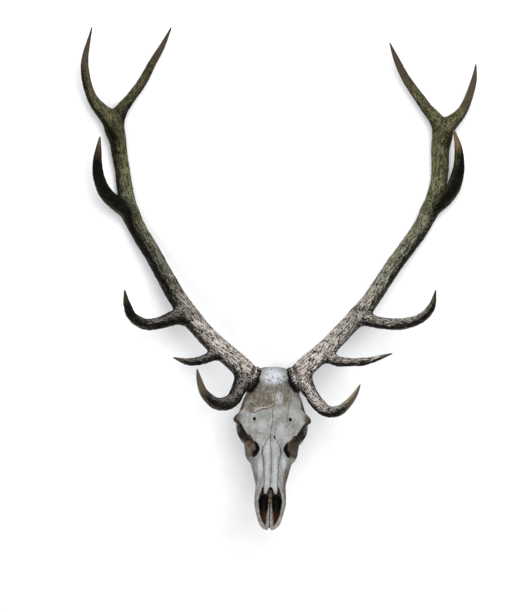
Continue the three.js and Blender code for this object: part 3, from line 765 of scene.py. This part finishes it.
def nose_walls(spots, normals, bar_height):
    """1 on the walls of the nose passage."""
    x, y, z = spots.T
    rooms = skull_sections(PASSAGE)
    middle = (rooms["crown"](y) + rooms["keel"](y)) / 2
    towards = -(x * normals[:, 0] + (z - middle) * normals[:, 2]) / np.maximum(np.hypot(x, z - middle), 1)
    return (ramp(0.05, 0.4, towards) * ramp(4, 1.5, np.abs(x) - rooms["side"](y))
            * ramp(-324, -318, y) * ramp(-160, -172, y) * ramp(-96, -88, z)
            * (1 - ramp(-256, -264, y) * ramp(2.4, 1.2, bar_height)))


def burr_marks(spots):
    """The stained bone round the antlers' roots, partly painted shade, and the painted shadow right under
    their burrs.
    """
    collars, shadows = [], []
    for antler in ANTLERS.values():
        root = turned(np.array([antler["beam"][0][:3]], float), ANTLER_TO_SKULL)[0]
        axis = np.array(ANTLER_TO_SKULL.to_3x3() @ Vector(antler["burr_axis"]).normalized())
        collars.append(blob(spots, root - np.array((0, 12, 4)), (33, 33, 36), 0.35))
        shadows.append(ramp(-31, -17, (spots - root) @ axis)
                       * ramp(42, 34, np.linalg.norm(spots - root, axis=1)))
    return np.maximum(*collars), np.maximum(*shadows)


def dark_marks(spots, normals, passage, brown_walls, collar, burr_shadow):
    """1 where the bone is painted near black: painted shade in holes, hollows, pits and the nose passage
    and round and under the burrs, and darker brow horn tips.
    """
    x, y, z = spots.T
    folded, turned_out = folded_over(spots, spots), folded_over(spots, normals)
    from_socket = folded - SOCKET[0]
    socket_wall = (ramp(1.2, 1.04, np.linalg.norm(from_socket / SOCKET[1], axis=1))
                   * ramp(0.3, -0.2, (from_socket * turned_out).sum(axis=1) / SOCKET[1][0]))
    foramen = (blob(folded, FORAMEN, (4.6, 4.8, 26), 0.3)
               * np.maximum(ramp(0.96, 0.85, normals[:, 2]), ramp(-11, -13, z)))
    choana = blob(spots, CHOANA[0], np.array(CHOANA[1]) + 2, 0.3) * ramp(-92, -82, z)
    left_socket = blob(spots, (57, -132, -46), (20, 34, 26), 0.4) * ramp(-24, -30, z)
    nose_gap = ramp(1.3, 0.4, np.abs(x)) * ramp(-262, -270, y) * ramp(-72, -66, z)
    pits = np.maximum.reduce([blob(spots * (1, 1, 0), (across, along, 0), (3.0, 2.5, 9), 0.7)
                              for across, along in SMALL_PITS])
    return painted(
        "dark", spots, inside(VACUITY, folded, turned_out, 6.5, VACUITY_FLAT),
        0.6 * socket_wall * np.maximum(ramp(-34, -56, z), ramp(60, 42, np.abs(x))),
        inside(NOSE_POCKET, folded, turned_out, 2.5) * ramp(-302, -274, y), foramen, 0.85 * choana,
        0.4 * left_socket, 0.8 * nose_gap, 0.3 * collar, 0.93 * burr_shadow,
        passage * ramp(-302, -274, y) * (1 - 0.7 * brown_walls), 0.9 * pits * ramp(-30, -20, z))


def tone_marks(spots, normals):
    """Shade, stain and dark, then red, knots and cheek, then pale, edge and streaks, from 0 to 1."""
    x, y, z = spots.T
    folded, turned_out = folded_over(spots, spots), folded_over(spots, normals)
    bar_height, _, _ = Stem(PALATINE_BAR, 60).measure(folded)
    recess_height, _, _ = Stem(RECESS, 60).measure(folded)
    passage = nose_walls(spots, normals, bar_height)
    brown_walls = passage * ramp(-266, -256, y) * ramp(-228, -238, y)
    collar, burr_shadow = burr_marks(spots)

    # Shade: partly painted shade (the lower sides, the nose end, the right side of the muzzle) and partly
    # the real grey-brown of the upper forehead and pedicles; it also greys the plates and leaves the dome
    # lighter.
    shade = painted("shade", spots, 0.36 * ramp(8, -6, y), 0.75 * ramp(-26, -46, z),
                    0.4 * ramp(-240, -300, y))
    stain = painted("stain", spots, 0.8 * ramp(-18, -30, z) * ramp(-118, -100, y) * ramp(50, 30, y))
    # Painted shade: near black in the holes, hollows, pits and nose passage, and round and under the burrs.
    dark = dark_marks(spots, normals, passage, brown_walls, collar, burr_shadow)

    socket_rim = ramp(-0.5, 0.5, recess_height) * ramp(6.5, 3.5, recess_height) * ramp(-32, -24, z)
    red = np.maximum(passage * ramp(-270, -286, y), 0.55 * socket_rim * ramp(-76, -86, y))
    _, _, across, across_keep = seam_marks(spots)
    above_crack = across_keep[:, 0] * ramp(0.8, 1.6, across[:, 0]) * ramp(4.4, 2.8, across[:, 0])
    knots = painted("knots", spots, 0.75 * above_crack)
    # Cheek: the brown of the tear-pit recess, the cheek side and the nose walls, with painted shade on the
    # recess walls; lighter where x < 0.
    cheek_side = blob(folded, (55, -130, -48), (22, 38, 30), 0.4) * ramp(-20, -27, z)
    cheek = painted("cheek", spots, inside(RECESS, folded, turned_out, 7),
                    cheek_side * np.where(x < 0, 0.78, 1), ramp(2.4, 1.2, bar_height) * ramp(-286, -266, y),
                    brown_walls)

    # Pale: bleached bone with painted highlight along the nasal ridges, on the up-facing jugal rims, the
    # dome, the plates and the muzzle's bulges.
    nasal_ridge = 0.32 * np.exp(-((np.abs(x) - 9) / 5.5) ** 2) * ramp(-250, -234, y) * ramp(-112, -136, y)
    jugal = blob(folded, (82, -82, -52), (11, 22, 24), 0.4) * ramp(0.1, 0.5, normals[:, 2])
    pale = painted("pale", spots, nasal_ridge * ramp(-30, -20, z), 0.65 * jugal)
    # Edge: painted shade on steep sides, right under the plates' overhanging edge, down the muzzle's sides
    # and by the brow horns' tips.
    steep = ramp(0.55, 0.1, normals[:, 2]) * ramp(-120, -112, y) * ramp(10, 0, y) * ramp(-34, -22, z)
    edge = painted("edge", spots, 0.9 * ramp(5.5, 1.5, recess_height) * ramp(-34, -24, z), 0.7 * steep)
    streaks = np.maximum(0.9 * collar, blob(spots, (0, -18, 0), (88, 44, 50), 0.6))
    return (np.stack([shade, stain, dark], axis=1), np.stack([red, knots, cheek], axis=1),
            np.stack([pale, edge, streaks], axis=1))


def engrave(mesh):
    """Sinks the seams into a skull mesh, raises the brow crack's ledge, and roughens the bone."""
    spots = spots_of(mesh)
    normals = normals_of(mesh)
    along, along_keep, across, across_keep = seam_marks(spots)
    sunk = (along_keep * np.exp(-(along / ALONG_WIDTH) ** 2)).sum(axis=1)
    sunk += (across_keep * np.exp(-(across / ACROSS_WIDTH) ** 2)).sum(axis=1)
    ledge = across_keep[:, 0] * ramp(0, 2.5, across[:, 0]) * ramp(16, 5, across[:, 0])
    knot = blob(spots, BROW_KNOT, (6, 9, 20)) + 0.6 * blob(spots, (-38, -58, 0), (12, 5, 20))
    waves = 0.55 * swell(spots, 15, 61) + 0.3 * swell(spots, 6, 62)
    upper = blob(spots, (0, -30, 0), (78, 46, 40), 0.6)
    rise = 1.3 * ledge + 1.6 * knot + waves * (0.6 + 0.9 * upper) - SEAM_DEPTH * sunk
    set_spots(mesh, spots + normals * rise[:, None])


def mark_bone(mesh):
    """Stores the seams and tones on a skull mesh that is still in the skull frame."""
    spots = spots_of(mesh)
    along, along_keep, across, across_keep = seam_marks(spots)
    tones, more_tones, last_tones = tone_marks(spots, normals_of(mesh))
    add_attributes(mesh, seams_along=along, seams_along_keep=along_keep, seams_across=across,
                   seams_across_keep=across_keep, tones=tones, more_tones=more_tones,
                   last_tones=last_tones)


# ---------------------------------------------------------------- teeth

CHEEK_TEETH = [(15, 12.5), (16, 14), (15, 15), (20, 16.5), (22, 17), (21, 16)]      # length, width
TOOTH_ROW = [(26.5, -204, -67), (35.5, -96, -89)]
TOOTH_BOW = 6
TOOTH_LEAN = math.radians(-5)
CROWN_HEIGHT = 13
ROOT_HEIGHT = 7
CHEWING_RINGS = [(0.035, -0.9), (0.05, 0.6), (0.06, 0.9), (0.07, -1.1)]     # width, rise
SQUARENESS = 3.4


def tooth_shape(length, width, lobes):
    """A worn two-ridged cheek tooth, its crown down, with rings of dentine on the chewing face."""
    bm = bmesh.new()
    height = CROWN_HEIGHT + ROOT_HEIGHT
    bmesh.ops.create_cone(bm, cap_ends=True, segments=40, radius1=0.5, radius2=0.5, depth=height,
                          matrix=Matrix.Translation((0, 0, ROOT_HEIGHT - height / 2)))
    walls = [edge for edge in bm.edges if abs(edge.verts[0].co.z - edge.verts[1].co.z) > 1]
    bmesh.ops.subdivide_edges(bm, edges=walls, cuts=9)
    chewing = [face for face in bm.faces if face.normal.z < -0.9]
    for thickness, depth in CHEWING_RINGS:
        bmesh.ops.inset_region(bm, faces=chewing, thickness=thickness, depth=depth)
    mesh = mesh_from(bm, "tooth")
    spots = spots_of(mesh)
    angle = np.arctan2(spots[:, 1], spots[:, 0])
    square = ((np.abs(np.cos(angle)) ** SQUARENESS + np.abs(np.sin(angle)) ** SQUARENESS)
              ** (-1 / SQUARENESS))
    waist = square * (1 - 0.22 * (lobes - 1) * np.abs(np.cos(angle)) ** 14)
    taper = 1 - 0.10 * ramp(-CROWN_HEIGHT, ROOT_HEIGHT, spots[:, 2]) - 0.06 * ramp(-9, -13, spots[:, 2])
    set_spots(mesh, spots * np.stack([width * waist * taper, length * square * taper, 1 + 0 * waist],
                                     axis=1))
    return faces_out(mesh)


def tooth_row(side):
    """The six cheek teeth of one side, in the skull frame."""
    front, back = np.array(TOOTH_ROW, float)
    total = sum(length for length, _ in CHEEK_TEETH)
    teeth = []
    start = 0
    for i, (length, width) in enumerate(CHEEK_TEETH):
        place = (start + length / 2) / total
        spot = front + (back - front) * place
        spot[0] += TOOTH_BOW * math.sin(math.pi * place)
        tooth = tooth_shape(length * 1.03, width, 1 if i < 3 else 2)
        lean = math.atan2(back[0] - front[0], back[1] - front[1])
        lean -= TOOTH_BOW * math.pi * math.cos(math.pi * place) / total
        slope = math.atan2(back[2] - front[2], back[1] - front[1])
        turn = (Matrix.Rotation(-lean, 4, "Z") @ Matrix.Rotation(slope, 4, "X")
                @ Matrix.Rotation(TOOTH_LEAN, 4, "Y"))
        set_spots(tooth, turned(spots_of(tooth), Matrix.Translation(spot) @ turn))
        teeth.append(tooth if side > 0 else mirror_mesh(tooth))
        start += length
    return joined(teeth)


# ---------------------------------------------------------------- material tools


def tint(red, green, blue):
    """A colour from 8-bit screen values."""
    def linear(value):
        part = value / 255
        return part / 12.92 if part <= 0.04045 else ((part + 0.055) / 1.055) ** 2.4
    return (linear(red), linear(green), linear(blue), 1)


def put(tree, kind, sockets=None, **settings):
    """Adds a node, and sets its properties and inputs. An input may be another node's output."""
    node = tree.nodes.new("ShaderNode" + kind)
    for name, value in settings.items():
        setattr(node, name, value)
    for name, value in (sockets or {}).items():
        if isinstance(value, bpy.types.NodeSocket):
            tree.links.new(value, node.inputs[name])
        else:
            node.inputs[name].default_value = value
    return node


def calc(tree, operation, first, second=0.0):
    return put(tree, "Math", {0: first, 1: second}, operation=operation).outputs[0]


def times(tree, first, second):
    return calc(tree, "MULTIPLY", first, second)


def plus(tree, first, second):
    return calc(tree, "ADD", first, second)


def minus(tree, first, second):
    return calc(tree, "SUBTRACT", first, second)


def stretched(tree, place, shares):
    """A place multiplied by three numbers, or by one."""
    if isinstance(shares, tuple):
        return put(tree, "VectorMath", {0: place, 1: shares}, operation="MULTIPLY").outputs[0]
    return put(tree, "VectorMath", {0: place, "Scale": shares}, operation="SCALE").outputs[0]


def waves_at(tree, place, scale, detail, roughness=0.5):
    """Smooth noise from 0 to 1."""
    return put(tree, "TexNoise", {"Vector": place, "Scale": scale, "Detail": detail,
                                  "Roughness": roughness}).outputs[0]


def mixed(tree, share, under, over, kind="MIX"):
    """The colour under, covered by the colour over by its share."""
    return put(tree, "Mix", {0: share, 6: under, 7: over}, data_type="RGBA", blend_type=kind).outputs[2]


def between(tree, value, low, high, bottom=0.0, top=1.0):
    """A smooth step from bottom to top as the value goes from low to high."""
    return put(tree, "MapRange", {0: value, 1: low, 2: high, 3: bottom, 4: top},
               interpolation_type="SMOOTHSTEP").outputs[0]


def parts_of(tree, name):
    """The three numbers of a vector that is stored on the mesh."""
    stored = put(tree, "Attribute", attribute_name=name)
    return put(tree, "SeparateXYZ", {0: stored.outputs["Vector"]}).outputs


def new_group(name, *numbers):
    """A node group that takes a Place and some numbers, its inputs, and the input of its Mask."""
    group = bpy.data.node_groups.new(name, "ShaderNodeTree")
    group.interface.new_socket("Place", in_out="INPUT", socket_type="NodeSocketVector")
    for number in numbers:
        group.interface.new_socket(number, in_out="INPUT", socket_type="NodeSocketFloat")
    group.interface.new_socket("Mask", in_out="OUTPUT", socket_type="NodeSocketFloat")
    entry = group.nodes.new("NodeGroupInput").outputs
    return group, entry, group.nodes.new("NodeGroupOutput").inputs["Mask"]


def make_mottle():
    """Soft uneven patches of a size in millimetres. Low and High set how hard their edges are."""
    group, entry, mask = new_group("mottle", "Size", "Low", "High")
    shrunk = stretched(group, entry["Place"], calc(group, "DIVIDE", 1, entry["Size"]))
    level = waves_at(group, shrunk, 1, 5, 0.6)
    group.links.new(between(group, level, entry["Low"], entry["High"]), mask)
    return group


def make_pores():
    """Small round pits in loose groups. Size is their spacing in millimetres, Cover their width."""
    group, entry, mask = new_group("pores", "Size", "Cover")
    shrunk = stretched(group, entry["Place"], calc(group, "DIVIDE", 1, entry["Size"]))
    cells = put(group, "TexVoronoi", {"Vector": shrunk, "Scale": 1, "Randomness": 1})
    dots = between(group, cells.outputs["Distance"], entry["Cover"], times(group, entry["Cover"], 0.45))
    crowds = between(group, waves_at(group, shrunk, 0.22, 2), 0.44, 0.62)
    group.links.new(times(group, dots, crowds), mask)
    return group


def make_seam():
    """A jagged line where a stored distance in millimetres passes zero, broken up here and there."""
    group, entry, mask = new_group("seam_line", "Distance", "Keep", "Width", "Wander")
    jag = waves_at(group, entry["Place"], 0.42, 4, 0.7)
    swing = times(group, minus(group, jag, 0.5), entry["Wander"])
    gap = calc(group, "ABSOLUTE", plus(group, entry["Distance"], swing))
    line = between(group, gap, entry["Width"], times(group, entry["Width"], 0.25))
    breaks = between(group, waves_at(group, entry["Place"], 0.11, 3), 0.34, 0.5, 0.3, 1)
    group.links.new(times(group, line, times(group, entry["Keep"], breaks)), mask)
    return group


MOTTLE = make_mottle()
PORES = make_pores()
SEAM = make_seam()


def use(tree, group, sockets):
    """The output of a node group placed in a material."""
    return put(tree, "Group", sockets, node_tree=group).outputs[0]


def new_material(name, slot_roughness, specular):
    """A material's node tree, its main shader, and object places in millimetres."""
    material = bpy.data.materials.new(name)
    material.use_nodes = True
    tree = material.node_tree
    shader = tree.nodes["Principled BSDF"]
    shader.inputs["Roughness"].default_value = slot_roughness
    shader.inputs["Specular IOR Level"].default_value = specular
    return material, tree, shader, stretched(tree, put(tree, "TexCoord").outputs["Object"], 1 / MM)


def patches(tree, place, size, low=0.38, high=0.62):
    return use(tree, MOTTLE, {"Place": place, "Size": size, "Low": low, "High": high})


def finish_surface(tree, shader, colour, roughness, height, depth):
    """Joins the colour, roughness and relief, in metres of depth, to the shader."""
    bump = put(tree, "Bump", {"Height": height, "Distance": depth, "Strength": 1})
    tree.links.new(colour, shader.inputs["Base Color"])
    tree.links.new(roughness, shader.inputs["Roughness"])
    tree.links.new(bump.outputs[0], shader.inputs["Normal"])


# ---------------------------------------------------------------- materials


# Patch size in millimetres, how thinly it covers, and colour of shade, stain, cheek, edge, pale and knots.
# Shade and edge are painted shade over some real grey-brown, cheek is brown with painted shade, and pale is
# bleached bone with painted highlight.
BONE_TONES = [(7, 0.2, (112, 107, 96)), (9, 0.25, (82, 68, 48)), (11, 0.2, (84, 69, 52)),
              (6, 0.15, (78, 56, 40)), (14, -0.1, (212, 217, 224)), (4, 0.1, (190, 180, 160))]
# Width and wander in millimetres of the three seams along the skull and the three across it.
SEAM_LINES = [(1.15, 5), (1.25, 4), (1.1, 3), (1.8, 9), (1.3, 11), (1.3, 5)]
# Colours by height along an antler, of its ridges, its grooves and its worn tips.
RIDGE_COLOURS = [(0, (232, 222, 214)), (0.2, (206, 199, 186)), (0.32, (176, 173, 155)),
                 (0.45, (148, 147, 122)), (0.62, (130, 129, 94)), (0.75, (118, 115, 84)),
                 (1, (92, 82, 64))]
GROOVE_COLOURS = [(0, (12, 9, 8)), (0.2, (16, 13, 11)), (0.32, (28, 26, 20)), (0.45, (48, 47, 34)),
                  (0.7, (45, 44, 30)), (1, (36, 31, 22))]
TIP_COLOURS = [(0, (160, 148, 120)), (0.055, (150, 138, 110)), (0.085, (82, 73, 58)),
               (0.3, (80, 70, 54)), (0.7, (116, 92, 68)), (0.79, (82, 71, 58)), (1, (66, 56, 46))]


def make_bone():
    """Weathered bone: bleached grey-white, with brown stains, sutures and pores, painted shade in its
    hollows and on its sides, and painted highlights on its ridges.
    """
    material, tree, shader, place = new_material("weathered_bone", 0.6, 0.08)
    wide, middle, small = (patches(tree, place, size) for size in (34, 8, 2.4))
    shade, stain, dark = parts_of(tree, "tones")[:3]
    red, knots, cheek = parts_of(tree, "more_tones")[:3]
    pale, edge, drawn = parts_of(tree, "last_tones")[:3]
    combed = waves_at(tree, stretched(tree, place, (0.5, 0.09, 0.3)), 1, 4, 0.65)
    streak = between(tree, combed, 0.42, 0.6)

    colour = mixed(tree, wide, tint(183, 189, 191), tint(148, 155, 158))
    colour = mixed(tree, times(tree, middle, 0.4), colour, tint(160, 156, 144))
    for share, (size, low, over) in zip((shade, stain, cheek, edge, pale, knots), BONE_TONES):
        uneven = plus(tree, patches(tree, place, size, low, 0.75), 0.35)
        share = put(tree, "Math", {0: share, 1: uneven}, operation="MULTIPLY", use_clamp=True).outputs[0]
        colour = mixed(tree, share, colour, tint(*over))
    dripping = waves_at(tree, stretched(tree, place, (0.4, 0.05, 0.12)), 1, 4, 0.7)
    drip = times(tree, between(tree, dripping, 0.46, 0.6), drawn)
    colour = mixed(tree, times(tree, drip, 0.75), colour, tint(74, 60, 42))
    combing = times(tree, streak, between(tree, cheek, 0, 1, 0.22, 0.85))
    colour = mixed(tree, combing, colour, mixed(tree, cheek, tint(118, 114, 106), tint(44, 34, 24)))
    colour = mixed(tree, times(tree, small, 0.26), colour, tint(80, 74, 64))

    along, keep_along = parts_of(tree, "seams_along"), parts_of(tree, "seams_along_keep")
    across, keep_across = parts_of(tree, "seams_across"), parts_of(tree, "seams_across_keep")
    seams = 0.0
    for distance, keep, (width, wander) in zip(along[:3] + across[:3], keep_along[:3] + keep_across[:3],
                                               SEAM_LINES):
        line = use(tree, SEAM, {"Distance": distance, "Keep": keep, "Place": place, "Width": width,
                                "Wander": wander})
        seams = calc(tree, "MAXIMUM", seams, line)
    colour = mixed(tree, times(tree, seams, 0.85), colour, tint(92, 56, 42))
    pores = use(tree, PORES, {"Place": place, "Size": 5.5, "Cover": 0.36})
    cracks = put(tree, "TexVoronoi", {"Vector": place, "Scale": 0.055, "Randomness": 1},
                 feature="DISTANCE_TO_EDGE").outputs["Distance"]
    hairline = times(tree, between(tree, cracks, 0.022, 0.004), wide)
    pores = times(tree, pores, between(tree, drawn, 0, 0.6, 0.35, 1))
    marks = calc(tree, "MAXIMUM", pores, times(tree, hairline, 0.5))
    colour = mixed(tree, times(tree, marks, 0.75), colour, tint(66, 55, 42))
    colour = mixed(tree, red, colour, mixed(tree, middle, tint(64, 29, 8), tint(32, 12, 4)))
    # Painted shade: near black in the holes, hollows and pits.
    colour = mixed(tree, between(tree, dark, 0, 0.92), colour, tint(4, 3, 2))

    ridges = plus(tree, times(tree, middle, 0.5), times(tree, small, 0.5))
    height = minus(tree, ridges, plus(tree, marks, times(tree, seams, 1.3)))
    finish_surface(tree, shader, colour, between(tree, middle, 0, 1, 0.52, 0.72), height, 0.0006)
    return material


def make_antler():
    """Antler: pale ridges over dark grooves near the burr, olive brown above, worn tips, and painted shade
    from the stored under mask.
    """
    material, tree, shader, place = new_material("antler", 0.6, 0.04)
    relief, polish, rise, under, hold = (
        put(tree, "Attribute", attribute_name=name).outputs["Fac"]
        for name in ("relief", "polish", "rise", "under", "hold"))
    grain = put(tree, "Attribute", attribute_name="grain").outputs["Vector"]
    veins = 0.0
    for across, lengthwise in ((0.34, 0.045), (0.6, 0.11)):
        waves = waves_at(tree, stretched(tree, grain, (across, across, lengthwise)), 1, 2, 0.55)
        lump_waves = waves_at(tree, place, across * 0.8, 2)
        level = put(tree, "Mix", {0: hold, 2: lump_waves, 3: waves}).outputs[0]
        away = calc(tree, "ABSOLUTE", minus(tree, level, 0.5))
        veins = plus(tree, veins, times(tree, between(tree, away, 0, 0.13), 0.5))

    def by_rise(stops):
        ramp_node = put(tree, "ValToRGB", {0: rise})
        ramp_node.color_ramp.elements[0].color = tint(*stops[0][1])
        ramp_node.color_ramp.elements[1].position = stops[-1][0]
        ramp_node.color_ramp.elements[1].color = tint(*stops[-1][1])
        for position, shade in stops[1:-1]:
            ramp_node.color_ramp.elements.new(position).color = tint(*shade)
        return ramp_node.outputs[0]

    ridge, groove, tip = (by_rise(stops) for stops in (RIDGE_COLOURS, GROOVE_COLOURS, TIP_COLOURS))

    level = times(tree, plus(tree, times(tree, relief, 0.5), 0.64), veins)
    ridge_share = between(tree, level, 0.27, 0.58)
    colour = mixed(tree, ridge_share, groove, ridge)
    brown = times(tree, patches(tree, place, 26, 0.42, 0.66), 0.4)
    colour = mixed(tree, brown, colour, tint(104, 84, 66), "MULTIPLY")
    # Painted shade: near black where the stored under mask is high, a touch less on the ridges.
    painted_shade = times(tree, under, between(tree, level, 0.9, 0.2, 0.96, 1))
    colour = mixed(tree, painted_shade, colour, tint(6, 5, 3))
    uneven = plus(tree, polish, times(tree, veins, 0.25))
    tip_share = times(tree, between(tree, uneven, 0.4, 1.0),
                     between(tree, under, 1.0, 0.3, 0.25, 1))
    colour = mixed(tree, tip_share, colour, tip)
    pores = use(tree, PORES, {"Place": place, "Size": 3.0, "Cover": 0.22})
    colour = mixed(tree, times(tree, pores, 0.45), colour, tint(34, 27, 20))

    height = minus(tree, times(tree, level, 1.5), pores)
    finish_surface(tree, shader, colour, between(tree, polish, 0.4, 1, 0.68, 0.42), height, 0.0008)
    return material


def make_tooth():
    """Cheek teeth: ivory enamel with patches of brown tartar and small dark pores."""
    material, tree, shader, place = new_material("tooth_enamel", 0.35, 0.5)
    wide, small = patches(tree, place, 7), patches(tree, place, 1.6)
    colour = mixed(tree, wide, tint(206, 198, 178), tint(160, 140, 104))
    colour = mixed(tree, times(tree, small, 0.3), colour, tint(88, 66, 44))
    pores = use(tree, PORES, {"Place": place, "Size": 2.4, "Cover": 0.2})
    colour = mixed(tree, times(tree, pores, 0.5), colour, tint(60, 42, 26))
    finish_surface(tree, shader, colour, between(tree, wide, 0, 1, 0.28, 0.5), small, 0.0003)
    return material


def make_floor_paint():
    material, tree, shader, place = new_material("pale_floor", 0.85, 0.2)
    colour = mixed(tree, patches(tree, place, 160), tint(244, 244, 243), tint(240, 240, 239))
    finish_surface(tree, shader, colour, between(tree, patches(tree, place, 60), 0, 1, 0.8, 0.9),
                   patches(tree, place, 5), 0.0001)
    return material


bone = make_bone()
antler_skin = make_antler()
enamel = make_tooth()
floor_paint = make_floor_paint()

# ---------------------------------------------------------------- pieces

SKULL_NODES = ["occiput", "braincase", "forehead"] + [
    f"{side}_{bone_name}" for side in ("left", "right")
    for bone_name in ("nasal", "premaxilla", "maxilla", "cheekbone", "pedicle")]
ANTLER_NODES = ("beam_lower", "beam_middle", "beam_upper", "fork_outer", "fork_inner", "brow_tine",
                "bez_tine", "trez_tine", "crown_tine")

skull_mesh = skull_shape()
engrave(skull_mesh)
mark_bone(skull_mesh)
add_piece("skull", skull_mesh, SKULL_FRAME, bone, *SKULL_NODES)
for side, sign, seed in (("left", 1, 3), ("right", -1, 40)):
    add_piece(f"{side}_teeth", tooth_row(sign), SKULL_FRAME, enamel)
    stem = add_piece(f"{side}_antler", antler_shape(side, seed), ANTLER_FRAME, antler_skin,
                     *[f"{side}_{name}" for name in ANTLER_NODES])
    ring = add_piece(f"{side}_burr_ring", burr_shape(side, seed), ANTLER_FRAME, antler_skin, f"{side}_burr")

# ---------------------------------------------------------------- floor, camera and light

CAMERA_DISTANCE = 4500
CAMERA_AIM = (-35.2, 190.3)
CAMERA_ROLL = math.radians(1.6)
PICTURE_HEIGHT = 612
FOCAL_PIXELS = 1910.8
SENSOR_HEIGHT = 36
FLOOR_HALF = 14
# Lights: name, place, the point each looks at, size and power.
LIGHTS = [("key", (0.5, 1.7, 2.8), (0, 0, 0), 2.0, 112), ("fill", (-1.6, 0.2, 2.8), (0, 0, 0), 2.4, 40),
          ("front", (1.5, -2.2, 1.3), (0, -0.2, 0.1), 1.6, 22)]
SKY_COLOUR = (0.9, 0.93, 1, 1)
SKY_POWER = 0.34


def add_floor():
    bm = bmesh.new()
    bmesh.ops.create_grid(bm, x_segments=4, y_segments=4, size=FLOOR_HALF)
    floor = bpy.data.objects.new("floor", mesh_from(bm, "floor"))
    floor.data.materials.append(floor_paint)
    bpy.context.scene.collection.objects.link(floor)


def add_camera():
    camera = bpy.data.objects.new("camera", bpy.data.cameras.new("camera"))
    camera.data.sensor_fit = "VERTICAL"
    camera.data.sensor_height = SENSOR_HEIGHT
    camera.data.lens = SENSOR_HEIGHT * FOCAL_PIXELS / PICTURE_HEIGHT
    camera.data.clip_end = 50
    stand = ANTLER_FRAME @ Matrix.Translation((*CAMERA_AIM, CAMERA_DISTANCE))
    stand = stand @ Matrix.Rotation(CAMERA_ROLL, 4, "Z")
    place, turn, _ = stand.decompose()
    camera.matrix_world = Matrix.LocRotScale(place, turn, None)
    bpy.context.scene.collection.objects.link(camera)
    bpy.context.scene.camera = camera


def add_light(name, spot, aim, size, power):
    lamp = bpy.data.lights.new(name, "AREA")
    lamp.shape = "DISK"
    lamp.size = size
    lamp.energy = power
    light = bpy.data.objects.new(name, lamp)
    light.location = spot
    light.rotation_euler = (Vector(aim) - Vector(spot)).to_track_quat("-Z", "Y").to_euler()
    bpy.context.scene.collection.objects.link(light)


add_floor()
add_camera()
for light in LIGHTS:
    add_light(*light)
world = bpy.data.worlds.new("studio")
world.use_nodes = True
world.node_tree.nodes["Background"].inputs["Color"].default_value = SKY_COLOUR
world.node_tree.nodes["Background"].inputs["Strength"].default_value = SKY_POWER
bpy.context.scene.world = world
bpy.context.scene.view_settings.view_transform = "Standard"
